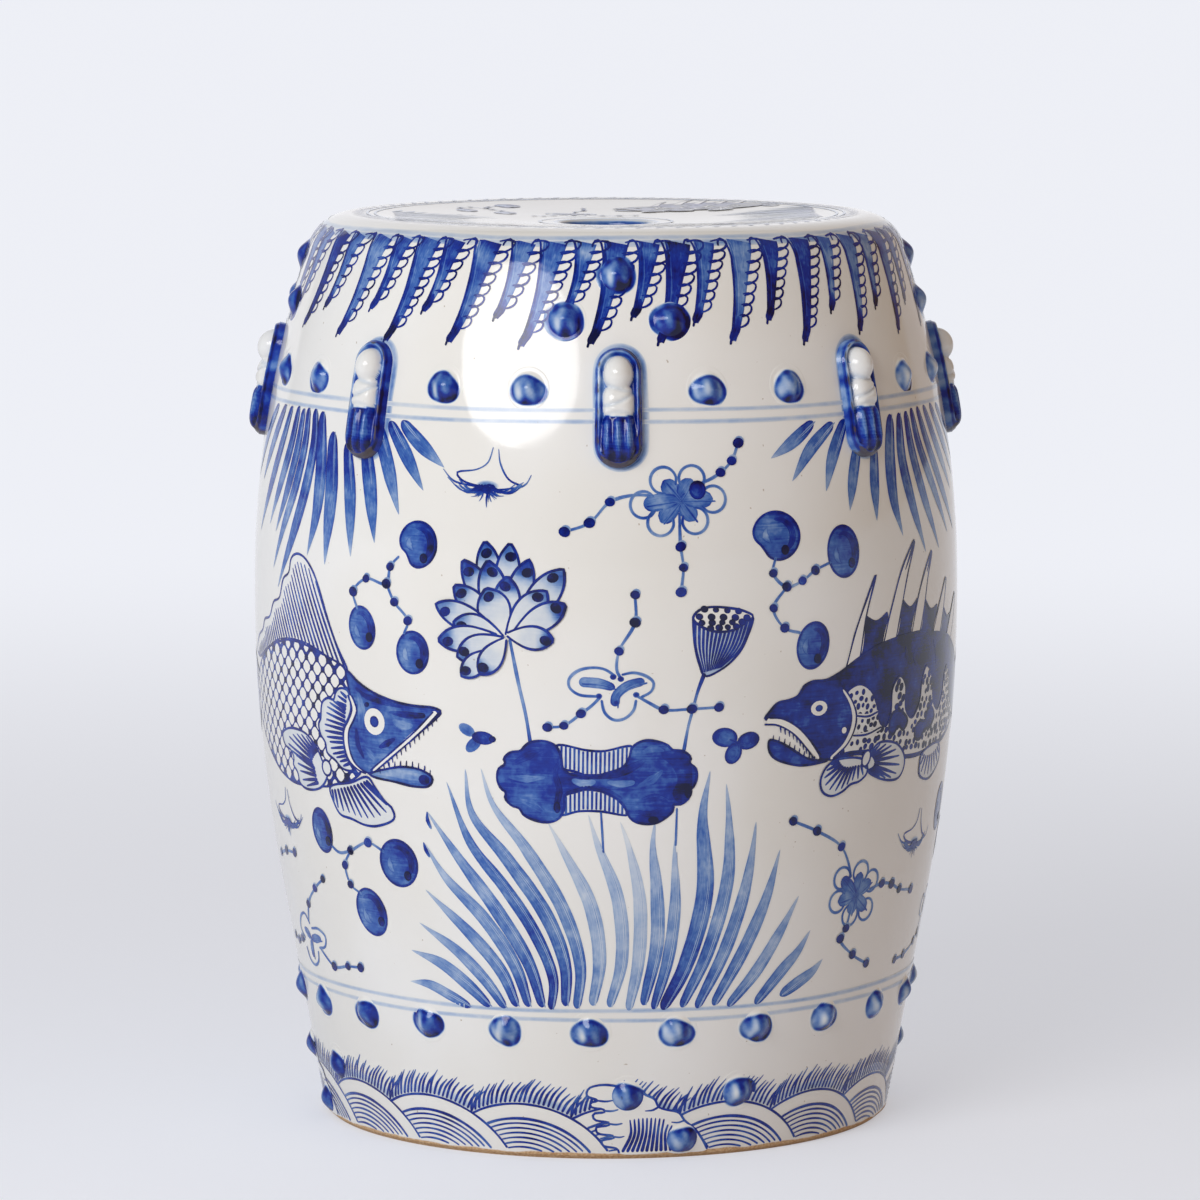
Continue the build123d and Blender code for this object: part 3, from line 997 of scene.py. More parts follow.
def paint_feather(paint, angle, low):
    """A hanging leaf: a streaked wash with a dark left edge, and loops down its right."""
    long = low < LONG_FEATHER
    side = (angle + 180) % 360 - 180
    lean = (2.1 - 0.022 * np.clip(side, -75, 75)) * (1.1 if long else 0.8)
    drop = FEATHER_TOP - low
    edge = [angle + lean * (1 - t**2.2) + 0.9 * t * (1 - t) for t in FEATHER_STEPS]
    left = [(a, FEATHER_TOP - drop * t) for a, t in zip(edge, FEATHER_STEPS)]
    widths = FEATHER_WIDTHS * (1.0 if long else 0.84) * rng.uniform(0.9, 1.06)
    right = [shifted(q, w) for q, w in zip(left, widths)]
    middle = [((p[0] + q[0]) / 2, p[1]) for p, q in zip(left, right)]
    body = rng.uniform(0.44, 0.70)
    wash = body + rng.uniform(-0.12, 0.12, 7)
    wash[0] += 0.10
    paint.stroke(middle, widths, (*wash, body + 0.18), WASH, columns=7, blunt=True)
    inner = moved(left[:-1], 1.2)
    paint.stroke(inner, (1.2, 2.2, 2.8, 2.2, 1.4), wash[1:] + 0.14, WASH + 0.03, 4, soft=0.5)
    hook = [shifted(left[0], *move) for move in FEATHER_HOOK]
    flick = [shifted(left[-1], -0.5, -1.9)]
    tones = (0.80, 0.76, 0.74, 0.78, 0.84, 0.92)
    paint.stroke(hook + left[1:] + flick, (1.0, 1.3, 1.2, 1.2, 1.4, 1.2), tones, LINE)
    pool = rng.uniform(0.80, 1.0)
    tip = (middle[-3], middle[-2], left[-1])
    paint.stroke(tip, (2.4, 4.6, 3.4), (body + 0.1, pool, pool), LINE - 0.02, 5, soft=0.2)
    edge = smooth(moved(right[:-1], -0.3))
    count = round(0.92 * drop / SCALLOP)
    marks = np.linspace(0, run_length(edge)[-1] * 0.98, count + 1)
    tall = 0.54 * drop * 0.9 / count
    for n, place in enumerate(resample(edge, (marks[1:] + marks[:-1]) / 2)):
        reach = SCALLOP_REACH * (1 - 0.48 * n / count)
        loop = []
        for t in SCALLOP_BEND:
            up = tall * math.sin(t) + 0.20 * reach * math.cos(t)
            loop.append(shifted(place, reach * math.cos(t), up))
        paint.stroke(loop, (0.7, 1.0, 1.1, 0.8), (0.72, 0.80, 0.74), LINE, step=1.1)


def paint_feathers():
    """The row of leaves under the seat, below a soft line."""
    paint = Painting()
    tones = 0.20 + rng.uniform(-0.10, 0.22, 90)
    path = [(a, 450.6) for a in ALL_ROUND]
    paint.stroke(path, 3.2, tones, WASH - 0.03, 5, 2.5, blunt=True, soft=0.6)
    for angle, low in feather_tips():
        paint_feather(paint, angle, low)
    paint.build("feather_border")


WAVE_COUNT, WAVE_RADIUS, WAVE_CENTRE, WAVE_FOOT = 18, 52.0, -24.3, 3.4
WAVE_BAND, WAVE_PITCH, WAVE_LINES = 7.6, 2.45, 9
FIRST_CREST = 1.5
HAIR_PITCH, HAIR_LENGTH = 2.4, 13.0
SPLASH = (
    (-5.6, 33.2), (-5.2, 36.8), (-3.2, 38.6), (-0.6, 38.4), (1.8, 36.4), (4.2, 35.4), (5.6, 33.2),
    (7.2, 31), (8, 27), (9.4, 25.4), (12, 23.6), (13.2, 19.4), (15.4, 14.6), (17.2, 8.4), (18.2, 3.6),
    (10, 3.3), (0.6, 3.3), (0.2, 5.6), (-2.6, 7.4), (-2.8, 9.8), (-0.4, 11.4), (-0.6, 12.4), (-3.6, 13.8),
    (-3.9, 16.6), (-1.4, 18), (-1.4, 19.2), (-4.2, 20.8), (-4.4, 23.6), (-2.2, 24.8), (-2.4, 26),
    (-4.8, 27.4), (-4.9, 29.4), (-3.4, 30.6),
)
SPLASH_CURLS = (
    ((-3.4, 30.6), (-2, 30.2), (-0.6, 30.8)), ((-2.3, 25.4), (-0.9, 25.2), (0.4, 26)),
    ((-1.4, 18.6), (0, 18.2), (1.2, 18.8)), ((-0.5, 11.9), (0.8, 11.6), (1.6, 12.2)),
    ((8, 27), (7, 25.4), (5.4, 25)), ((13.2, 19.4), (12, 18.4), (10.6, 18.8)),
    ((1.8, 36.4), (1.4, 34.6), (0.2, 33.6)),
)


def paint_waves():
    """Overlapping waves above the foot, each cut off by its left neighbour."""
    paint = Painting()
    unit = float(wall_radius(20.0)) * math.pi / 180
    apart = 360 / WAVE_COUNT * unit
    reach = math.degrees(math.asin(apart / 2 / WAVE_RADIUS))
    bearing = np.radians(np.linspace(-75, 80, 120))
    hairs = np.radians(np.arange(-reach, reach, math.degrees(HAIR_PITCH / WAVE_RADIUS)))

    def arch(crest, radius):
        x, y = radius * np.sin(bearing), radius * np.cos(bearing)
        keep = (WAVE_CENTRE + y > WAVE_FOOT) & (np.hypot(x + apart, y) > WAVE_RADIUS)
        x, y = x[keep], y[keep]
        pick = [*range(0, len(x) - 2, 5), len(x) - 1]
        return [(crest + a / unit, WAVE_CENTRE + b) for a, b in zip(x[pick], y[pick])] if len(x) > 6 else []

    def above(crest, gap, a):
        """A place over a wave's outer line."""
        radius = WAVE_RADIUS + gap
        return crest + radius * math.sin(a) / unit, WAVE_CENTRE + radius * math.cos(a)

    for k in range(WAVE_COUNT):
        crest = FIRST_CREST + 360 / WAVE_COUNT * k
        paint.stroke(arch(crest, WAVE_RADIUS), 1.2, (0.66, 0.76, 0.66), LINE)
        for n in range(WAVE_LINES):
            inner = arch(crest, WAVE_RADIUS - WAVE_BAND - WAVE_PITCH * n)
            if len(inner) > 2:
                widths = (0.85, 1.1, 0.9) if n else (1.3, 1.6, 1.3)
                paint.stroke(inner, widths, (0.58, 0.70, 0.60), LINE, step=2.0)
        ridge = [above(crest, 2.6, a) for a in np.radians(np.linspace(-reach, reach, 9))]
        paint.stroke(ridge, 5.5, 0.20 + rng.uniform(-0.06, 0.08, 7), WASH, columns=5, soft=0.8)
        for a in hairs:
            long = HAIR_LENGTH * rng.uniform(0.85, 1.15)
            base = above(crest, 0.8, a)
            lean = 0.35 * a + rng.uniform(0.42, 0.60)
            tip = shifted(base, long * math.sin(lean), long * math.cos(lean))
            middle = shifted(base, long * 0.5 * math.sin(lean - 0.16), long * 0.5 * math.cos(lean - 0.16))
            paint.stroke((base, middle, tip), (1.3, 1.3, 0.4), (0.76, 0.68, 0.50), LINE, step=2.0)
    paint.build("wave_border")
    for side, turn in (("front", 0), ("right", 90), ("back", 180), ("left", 270)):
        paint_foam().build("foam_splash_" + side, turn)


def paint_foam():
    """A splash of white foam over the waves, with dark stripes from its foot."""
    foam = Painting()
    foam.fill(SPLASH, 0.0, OVER)
    foam.stroke(SPLASH[16:] + SPLASH[:15], 1.2, (0.7, 0.62), OVER_LINE)
    for curl in SPLASH_CURLS:
        foam.stroke(curl, (1.1, 1.0, 0.6), 0.62, OVER_LINE)
    for n in range(11):
        foot = (1.2 + n * 0.95, 3.8)
        head = (2.6 + n * 0.82, 21.5 - 0.05 * (n - 4) ** 2 - (2.5 if n > 8 else 0))
        middle = ((foot[0] + head[0]) / 2 + 0.9 - n * 0.14, 13.0)
        foam.stroke((foot, middle, head), (1.7, 1.5, 0.8), (0.80, 0.74, 0.66), OVER_LINE)
    return foam


# Painted plants

FAN_WIDTHS = np.array((0.60, 0.82, 0.95, 1.0, 0.99, 0.90, 0.68, 0.38, 0.08))
FAN_TONES = np.array((0.22, 0.10, 0.02, -0.02, -0.04, -0.06, -0.12, -0.20))
POND_FAN = (
    (5.6, 0.41, ((-26.9, 76), (-30.8, 81), (-35, 85.6), (-39.2, 86))),
    (6.8, 0.41, ((-23.1, 77), (-26.9, 87), (-31.9, 97), (-38.1, 102.3))),
    (6.4, 0.39, ((-20.2, 76.7), (-23.5, 90), (-28.6, 104.4), (-35.7, 117))),
    (6.9, 0.43, ((-18, 77.8), (-20.4, 95), (-25.2, 112), (-33.7, 134.3))),
    (7.1, 0.41, ((-15.8, 78), (-17.9, 98.6), (-23, 122), (-29.7, 142), (-33.3, 158.4))),
    (7.5, 0.47, ((-13.3, 78), (-15.4, 100), (-20.7, 127), (-26.9, 152), (-32.2, 174))),
    (6.6, 0.53, ((-11.8, 77), (-11.2, 92), (-14, 115), (-19, 138.5), (-24.6, 160), (-28.3, 189.7))),
    (7.5, 0.47, ((-9.2, 79), (-9, 98.6), (-11.8, 123.5), (-18.5, 153.5), (-24.1, 175), (-24.9, 196.7))),
    (6.9, 0.37, ((-7.2, 77.8), (-6.4, 98.6), (-9, 127), (-15.1, 158.5), (-20.4, 180), (-22.2, 197.5))),
    (7.1, 0.29, ((-4.4, 79.5), (-3.1, 102), (-4.5, 130), (-9, 158.4), (-11.3, 171.7))),
    (6.7, 0.28, ((-1.4, 78.7), (0.7, 102), (0, 133.5), (-3.4, 161.8), (-4.8, 176))),
    (6.7, 0.25, ((2, 77), (3.6, 102), (3.6, 133.5), (1.7, 160), (0.3, 172.6))),
    (7.0, 0.37, ((4.6, 79.5), (6.7, 110), (6.4, 138.5), (5.6, 160), (5.9, 172.6))),
    (6.3, 0.39, ((6.4, 77.3), (8.7, 102), (9.6, 130), (9.2, 157), (9.2, 163.4))),
    (9.0, 0.49, ((8, 77), (11.8, 98.6), (14.6, 135), (13.7, 175), (14.7, 196.7))),
    (7.3, 0.43, ((11.5, 77.8), (15.7, 105), (18.5, 142), (18.2, 171.7), (17.5, 190))),
    (7.2, 0.43, ((14.3, 77), (18.8, 105), (21.6, 133.5), (22.7, 157), (23, 170))),
    (7.1, 0.43, ((17.4, 78), (22.4, 105), (25.8, 130), (27.8, 155))),
    (6.7, 0.41, ((20.2, 77), (25.2, 93.6), (29.1, 112), (32.4, 130.5))),
    (6.6, 0.41, ((25.6, 77), (30.8, 93.6), (33.6, 102), (35.8, 112))),
    (6.7, 0.41, ((30.7, 80), (34.7, 86), (37.5, 90.3), (39.6, 96))),
)
POND_TIPS = (((-33.3, 158.4), (-33, 155), (-32.3, 151)), ((-32.2, 174), (-32.2, 169.6), (-31.6, 165.4)))
LEFT_FAN = (
    (7.6, 0.52, ((-37.7, 364), (-34.1, 355), (-28.8, 343))),
    (7.6, 0.52, ((-40.2, 363.5), (-36.8, 350.6), (-32.4, 331.4))),
    (8.3, 0.54, ((-43.2, 364.7), (-40.2, 346), (-36.8, 319))),
    (9.0, 0.54, ((-45.3, 356), (-43.2, 332.5), (-41.5, 304.3))),
    (8.3, 0.54, ((-49.3, 352), (-47.6, 329), (-46.6, 296.4))),
    (9.9, 0.54, ((-53.3, 356), (-52.2, 327), (-52.9, 290.8))),
    (9.5, 0.54, ((-57.1, 365), (-55.6, 338), (-55.8, 315.6), (-57.9, 294))),
    (8.3, 0.54, ((-59.4, 365.8), (-58.4, 349), (-59.6, 327), (-62.6, 304), (-68, 275))),
    (7.2, 0.54, ((-61.7, 365.8), (-61.3, 349), (-63, 327), (-66.8, 304), (-70.2, 284))),
    (7.0, 0.54, ((-63.4, 365), (-63.8, 346), (-66, 324.6), (-69.8, 302))),
    (7.4, 0.54, ((-65.4, 365.8), (-66.4, 347), (-69.1, 327), (-73, 305))),
    (7.4, 0.54, ((-68.3, 365), (-70.2, 349), (-74, 325), (-79, 300))),
    (7.2, 0.52, ((-71.4, 365), (-74.8, 349), (-80, 325))),
    (7.2, 0.52, ((-75.7, 364), (-80, 350), (-86, 325))),
)
RIGHT_FAN = (
    (6.6, 0.46, ((34.3, 363.7), (30, 355), (25.5, 347.3))),
    (6.8, 0.48, ((38.4, 362.5), (33.2, 350.6), (29.2, 335.8))),
    (7.3, 0.50, ((41.1, 363.7), (37.6, 346), (35.7, 329.8))),
    (7.1, 0.50, ((43.6, 352), (41.8, 336), (40.5, 319.4))),
    (7.1, 0.50, ((47.6, 350), (46.8, 331.6), (46.7, 313))),
    (9.0, 0.52, ((53.2, 363.7), (51.6, 342), (51.6, 322), (53.6, 303.7))),
    (8.3, 0.52, ((56, 363.7), (55.2, 342), (57.2, 318.6), (61, 293.6))),
    (7.8, 0.52, ((58.3, 364), (58.8, 344.7), (61.6, 321), (66.8, 293.6))),
    (7.4, 0.50, ((60.5, 365), (61.6, 348), (65.2, 328), (72, 300))),
    (7.4, 0.50, ((63, 365), (65.2, 348), (70, 325), (77, 300))),
    (7.2, 0.50, ((66, 365), (70, 345), (77, 320))),
    (7.2, 0.50, ((69.5, 365), (74, 348), (81, 326))),
    (7.2, 0.50, ((73.5, 364), (79, 350), (86, 330))),
)


def paint_fan(blades, dark_tips=()):
    """Water weed: long single-stroke leaves from one root, dark where the brush first touched."""
    paint = Painting()
    for n, (width, ink, path) in enumerate(blades):
        lift = 0.012 * (n % 5)
        tones = FAN_TONES * (ink + 0.5) + ink
        paint.stroke(path, FAN_WIDTHS * width, tones, WASH + lift, columns=7, step=2.4)
        inner = moved(path[:-1], 0.18 * width)
        paint.stroke(inner, (0.6, 1.2, 1.0, 0.4), ink + 0.08, LINE + lift, soft=0.7)
    for tip in dark_tips:
        paint.stroke(tip, (0.6, 2.2, 1.4), (0.60, 0.74, 0.40), LINE + 0.06, 5)
    return paint


LOTUS_PETALS = (
    ((-21.2, 308.5), (-19.5, 275), 6), ((-17.1, 308), (-18, 270), 6), ((-24.9, 299), (-18, 268), 6),
    ((-20.7, 299.4), (-18.5, 265), 7), ((-14, 300.4), (-17.5, 265), 6), ((-8.6, 296), (-16, 266), 7),
    ((-26.3, 286.5), (-18.5, 266), 6), ((-17.4, 292), (-17.7, 263), 6.5), ((-20.9, 285.8), (-17.8, 263), 8),
    ((-11.2, 285.3), (-17.5, 263), 7), ((-29.4, 277), (-19, 265), 6), ((-8.2, 279), (-16.5, 264), 6),
    ((-26.3, 268.8), (-18, 262), 7), ((-10.1, 261.6), (-17.5, 264), 5.5), ((-29, 259.6), (-19, 263), 6),
    ((-25.7, 252), (-18, 262), 6.5), ((-25, 242.6), (-20, 256), 5), ((-21.9, 244), (-17.7, 262), 5.5),
)
PETAL_OUTLINE = (
    (0.0, 0.12), (0.2, 0.58), (0.45, 0.97), (0.66, 1.0), (0.84, 0.72), (0.95, 0.30), (1.0, 0.0),
)


def petal(paint, tip, base, half, lift):
    """A pointed petal: pale at the root, blue towards the tip, with one dark touch."""
    unit = Wall.scale(np.array((tip, base)))
    along = np.array(((tip[0] - base[0]) * unit, tip[1] - base[1]))
    long = np.hypot(*along)
    along /= long
    across = np.array((-along[1], along[0]))

    def at(t, s):
        flat = along * (t * long) + across * s
        return base[0] + flat[0] / unit, base[1] + flat[1]

    def tone(places):
        t = ((places - base) * (unit, 1)) @ along / long
        return 0.04 + 0.09 * rise(t, 0.10, 0.5) + deep * rise(t, 0.62, 0.92)

    sides = [at(t, half * w) for t, w in PETAL_OUTLINE]
    sides += [at(t, -half * w) for t, w in PETAL_OUTLINE[-2::-1]]
    deep = rng.uniform(0.34, 0.62)
    paint.fill(sides, tone, lift, cell=2.2)
    paint.stroke(sides, (1.1, 1.3, 1.5, 1.3, 1.1), (0.74, 0.78, 0.82, 0.78, 0.74), lift + 0.024, step=2.0)
    dark = at(0.83, half * rng.uniform(-0.25, 0.25))
    paint.dot(dark, 3.0, 2.4, 1.0, lift + 0.036, tilt=rng.uniform(-40, 40), rim=-0.12, rings=3)


def paint_lotus():
    paint = Painting()
    stem = ((-17.1, 262), (-15.7, 240), (-14.6, 224.6), (-13.8, 208))
    paint.stroke(stem, (1.5, 1.9, 1.6, 2.0), (0.5, 0.4, 0.42, 0.6), WASH)
    for n, (tip, base, half) in enumerate(LOTUS_PETALS):
        petal(paint, tip, base, half, LINE + 0.045 * n)
    return paint


LEAF_LEFT = (
    (-4.6, 194), (-8.6, 198), (-9.1, 205), (-9.8, 209.8), (-11.6, 212.2), (-14, 211.4), (-15.1, 208.8),
    (-15.5, 207.2), (-17.2, 206.2), (-18.3, 202.8), (-18.1, 200.4), (-19.2, 197.8), (-19.5, 192.6),
    (-18.9, 188), (-18.1, 186.2), (-18.3, 183.4), (-17.1, 179.6), (-16, 178.6), (-15.3, 175.4),
    (-13, 172.4), (-11, 172.1), (-9.4, 174.6), (-8.6, 180), (-8.5, 186), (-4.6, 190),
)
LEAF_RIGHT = (
    (-4.8, 194), (-2.6, 196.2), (0.6, 199.6), (1.6, 204), (2.2, 209.7), (4.1, 212.8), (6.4, 212),
    (7.9, 209.8), (8.4, 208), (10.3, 207), (11.5, 203.6), (11.3, 201.2), (12.3, 198.4), (12.5, 193.4),
    (11.9, 188.8), (11.1, 187.2), (11.4, 184.2), (10, 180.8), (8.9, 180.6), (8.7, 177.4), (7.4, 173.8),
    (5.9, 171.6), (3.4, 171.8), (2, 174), (0.4, 182.4), (-2.6, 187.6), (-4.8, 190),
)
LEAF_FOLD = (
    (7, 209.4), (9.4, 207.2), (11.2, 203), (11.8, 194), (11.4, 185.6), (9.8, 181.4), (8.6, 186), (9.4, 193),
    (8.4, 200), (6.8, 204.6),
)
LEAF_POOLS = (
    (((-9, 204), (-10, 197), (-9.4, 188), (-10.2, 178)), (1.5, 2.8, 3.4, 2.0), (0.70, 0.76, 0.82, 0.92)),
    (
        ((-8, 196.6), (-4.6, 195.2), (-1, 195.8), (2, 199.4), (4.2, 203)), (1.4, 2.2, 3.0, 4.6, 2.4),
        (0.72, 0.80, 0.84, 0.80, 0.70),
    ),
    (((-7.6, 188.4), (-5, 189.6), (-2, 188.4), (0.6, 184)), (1.2, 1.8, 2.0, 1.4), (0.70, 0.76, 0.76, 0.70)),
    (((-7.4, 193.4), (-5.6, 191.6), (-3.6, 192.6)), (2.4, 4.0, 2.4), (0.44, 0.36, 0.46)),
    (((-1.8, 192.4), (0.4, 191.4), (2.6, 192.2)), (2.0, 3.6, 2.4), (0.46, 0.40, 0.50)),
    (((-17, 200), (-14.6, 204.4), (-11.6, 208)), (1.6, 4.4, 1.8), (0.66, 0.74, 0.68)),
    (((-17.6, 194), (-14.6, 193.4), (-11.6, 194.4)), (1.6, 4.0, 1.6), (0.56, 0.46, 0.56)),
    (((-16.4, 183), (-14, 181), (-11.8, 177)), (1.6, 4.6, 1.8), (0.64, 0.52, 0.62)),
    (((3, 190), (5.4, 193.6), (7, 198)), (1.6, 4.4, 1.8), (0.62, 0.52, 0.60)),
    (((3.4, 183), (6, 184.6), (8, 182.6)), (1.6, 4.0, 1.6), (0.68, 0.78, 0.70)),
    (((3.4, 206.4), (5.4, 208.6), (7.2, 207.4)), (1.4, 4.0, 1.4), (0.62, 0.52, 0.60)),
    (((2.6, 178), (5, 176.4), (7, 178.6)), (1.6, 3.0, 1.8), (0.70, 0.76, 0.70)),
)
LEAF_STRIPS = (
    (
        (-9.8, 210), (-5, 208), (-2.5, 207.6), (2.2, 209.7), (1.4, 201.6), (-0.8, 196.4), (-2.9, 195.8),
        (-5, 195.6), (-7, 197.6), (-8.8, 199),
    ),
    (
        (-8.4, 185.5), (-7, 187), (-5.3, 188.6), (-2.9, 187.8), (-0.8, 186.5), (0.3, 182.4), (1.6, 176.2),
        (-2.9, 177.8), (-6.3, 177.8), (-9.4, 176),
    ),
)
LEAF_TOUCHES = (((11.2, 187), 2.0, 3.4), ((5.6, 173.4), 2.6, 1.8), ((-9.8, 179.6), 1.6, 3.0))
LEAF_STEMS = (((-2.8, 177.6), (-2.4, 157)), ((9.4, 179), (9.35, 160)))


def paint_leaf():
    """The broad lotus leaf, two dark lobes with hatched strips between them."""
    paint = Painting()
    for strip in LEAF_STRIPS:
        paint.fill(strip, 0.10, WASH)
        paint.hatch(strip, 89, 2.1, 1.1, 0.64, LINE)
        paint.stroke(strip, 1.2, 0.8, LINE, closed=True)
    for lobe, shade in ((LEAF_LEFT, (0.03, 0.02)), (LEAF_RIGHT, (0.05, -0.03))):
        paint.fill(lobe, 0.65, OVER, shade=shade, rim=0.06, cell=2.4)
        paint.stroke(lobe, 1.2, (0.80, 0.86, 0.80), OVER_LINE)
    paint.fill(LEAF_FOLD, 0.80, OVER + 0.02, shade=(0.03, -0.04), cell=2.4)
    for path, width, ink in LEAF_POOLS:
        paint.stroke(path, width, ink, OVER + 0.03, columns=5, soft=0.10)
    for place, across, high in LEAF_TOUCHES:
        paint.dot(place, across, high, 0.97, DOT)
    for stem in LEAF_STEMS:
        paint.stroke(stem, 1.1, 0.5, LINE)
    return paint


POD_ROWS = (
    (4, 276.2, 13.4, 19, 1.6), (5, 272.6, 12.6, 20.4, 1.4), (5, 269.6, 13, 19.6, 0.4),
    (4, 266.8, 14.4, 18.6, -0.4),
)
POD_STRIPES = 14
POD_STEM = ((13.5, 245), (12.4, 236), (11.7, 227.7), (11, 219.4), (10.3, 207))
POD_CONE = (
    (11.7, 273), (11.9, 258.5), (12.6, 249.3), (13.5, 243.6), (15.9, 246), (17.9, 250.3), (19.8, 257.5),
    (21.4, 271.5), (20, 268.8), (18.3, 265.7), (15.2, 265.2), (12.6, 268.6),
)
POD_RIM = (
    (11.6, 272), (12.4, 275.4), (14.1, 277), (17.2, 276.4), (20, 274.4), (21.5, 271.6), (20, 268.8),
    (18.3, 265.7), (15.2, 265.2), (12.6, 268.4),
)


def paint_pod():
    """A lotus seed pod: a striped cone under a dotted rim."""
    paint = Painting()
    paint.stroke(POD_STEM, (2.2, 1.5, 1.4, 1.8), (0.8, 0.5, 0.45, 0.6), WASH)
    paint.fill(POD_CONE, 0.26, WASH, shade=(0.08, -0.04))
    for n in range(POD_STRIPES):
        t = n / (POD_STRIPES - 1)
        top = (11.9 + 9.3 * t, 270.2 - 19 * t * (1 - t) + 0.8 * t)
        middle = (12.1 + 7.4 * t, 257)
        low = (13.3 + 2.8 * t, 245 + 2.4 * t)
        paint.stroke((top, middle, low), (1.5, 1.2, 0.6), (0.80, 0.76, 0.72), LINE)
    paint.stroke(POD_CONE, (1.2, 1.0, 1.6, 1.2), 0.84, LINE + 0.02, closed=True)
    paint.outlined(POD_RIM, 0.0, OVER, 1.3, 0.86, OVER_LINE)
    for count, low, left, right, fall in POD_ROWS:
        for n in range(count):
            t = n / (count - 1)
            big = rng.uniform(1.6, 2.1)
            paint.dot((left + (right - left) * t, low - fall * t), big, big * 0.85, 0.92, DOT, tilt=-14)
    return paint


BEAD = 2.4


def beads(paint, *chains):
    """Chains of dark beads on thin stems; a place with a third value is a bare end of the stem."""
    for chain in chains:
        stem = [place[:2] for place in chain]
        paint.stroke(stem, (1.4, 1.7, 1.3, 1.5), (0.54, 0.46, 0.52), LINE, soft=0.2)
        for place in chain:
            if len(place) == 2:
                size = BEAD * rng.uniform(0.88, 1.12)
                paint.dot(shifted(place, 0.6, 1.0), size * 0.95, size * 0.9, 0.46, DOT - 0.05, rim=-0.2)
                paint.dot(place, size * 1.1, size * 0.94, 0.86, DOT, tilt=rng.uniform(-30, 30), rim=-0.06)


def loop_flower(paint, loops, core):
    for loop in loops:
        paint.stroke(loop, (1.3, 1.6, 1.3), (0.60, 0.48, 0.58), LINE, step=1.3, soft=0.25)
    for path, width in core:
        tones = (0.62, 0.40 + rng.uniform(-0.06, 0.1), 0.46 + rng.uniform(-0.04, 0.2))
        paint.stroke(path, width, tones, WASH + rng.uniform(0, 0.05), columns=6)
        shade = moved(path, 1.4, -1.0)
        paint.stroke(shade, (0.6, 1.6, 0.8), (0.7, 0.6, 0.7), LINE, soft=0.4)


def petal_ring(centre, places, size):
    """Round loops at the given places, open towards the flower's centre."""
    loops = []
    for place in places:
        unit = Wall.scale(np.array((centre, place)))
        toward = math.atan2(centre[1] - place[1], (centre[0] - place[0]) * unit)
        turn = np.linspace(toward + 0.5, toward + 2 * math.pi - 0.5, 9)
        loops.append([shifted(place, size * math.cos(t), size * math.sin(t)) for t in turn])
    return loops


def ring_flower(paint, centre, places, size, widths):
    """A flower of round loops with a broad touch from its centre to each."""
    core = [((centre, midway(centre, q), q), widths) for q in places]
    loop_flower(paint, petal_ring(centre, places, size), core)


MIDDLE_LOOPS = (
    (
        (-0.4, 244), (-2.2, 247.7), (-4.2, 248.5), (-6.3, 247), (-7.7, 243), (-7.7, 239), (-6.3, 235.4),
        (-3.2, 234.4),
    ),
    ((0.4, 245), (2.3, 246), (4.4, 244), (5.4, 241), (5.1, 237), (3.4, 233.8)),
    ((-2.7, 232.8), (-2.2, 226.6), (-0.8, 223), (0.9, 223.6), (2.3, 227.7), (2.7, 232.8)),
)
MIDDLE_CORE = (
    (((-0.6, 238.6), (-3, 240.8), (-6.2, 241.6)), (3.6, 5.2, 5.0)),
    (((-0.6, 229.6), (-0.4, 235), (1.2, 239.4), (4, 242)), (4.6, 4.4, 4.8, 4.0)),
)
MIDDLE_CHAINS = (
    ((2.5, 283.8), (2.5, 270.4), (0, 256.5), (-0.3, 247, 0), (0.3, 243.4, 0)),
    ((2.6, 235, 0), (4.6, 231.4, 0), (7, 227.7), (11.5, 227.7), (15.9, 228)),
    ((-2.8, 234.4, 0), (-4.2, 230, 0), (-5.9, 226), (-8.6, 220), (-11.2, 219)),
)
MIDDLE_KNOTS = ((-0.9, 244), (0.3, 243), (-3.1, 234.6), (2.7, 235.2), (-0.4, 231.4))
TOP_CENTRE = (9.6, 329.4)
TOP_RING = ((7.1, 338.5), (11.7, 339), (15.1, 329), (3.9, 327), (6.6, 318.4), (12.1, 319))
TOP_CHAINS = (
    ((13, 336.6, 0), (14.8, 338.6, 0), (16.5, 341.6), (18.5, 347), (19.8, 355.4)),
    ((5.2, 331.4, 0), (2.2, 331.6, 0), (-1.4, 328.4), (-4.6, 318.4), (-8.5, 314)),
    ((9.6, 323, 0), (9.6, 315, 0), (9.7, 306.6), (10.1, 296.5), (9.7, 284.7)),
)
RIGHT_CENTRE = (45.6, 126.4)
RIGHT_RING = ((41.8, 136.4), (46.4, 138), (49.6, 132.4), (41.4, 124.6), (45, 116.6), (49.2, 118))
RIGHT_CHAINS = (
    ((29.9, 168.8), (34.9, 162.5), (40.7, 152.8), (43, 143, 0), (44, 136, 0)),
    ((49.4, 128, 0), (53, 129.6), (56.4, 128), (59.7, 124), (65.1, 121.5)),
    ((45, 119, 0), (44.4, 110), (43.3, 105), (47.3, 95.4), (52, 89)),
)
FAR_CHAIN = ((63.3, 86), (67.6, 86.7), (73.8, 90.6), (77, 94))
FAR_CENTRE, FAR_RING = (80, 103), ((77, 108), (81, 111), (84, 104), (79, 96))
LEFT_LOOPS = (
    ((-67.9, 104), (-69.9, 108.7), (-72.5, 106), (-73.8, 99.5), (-72, 95)),
    ((-67.6, 102), (-64.4, 103), (-62, 100), (-62.7, 94.8), (-65.4, 92.8)),
    ((-72.2, 90.7), (-71.2, 84.6), (-68.9, 82.5), (-66.8, 85.6), (-66.1, 91)),
)
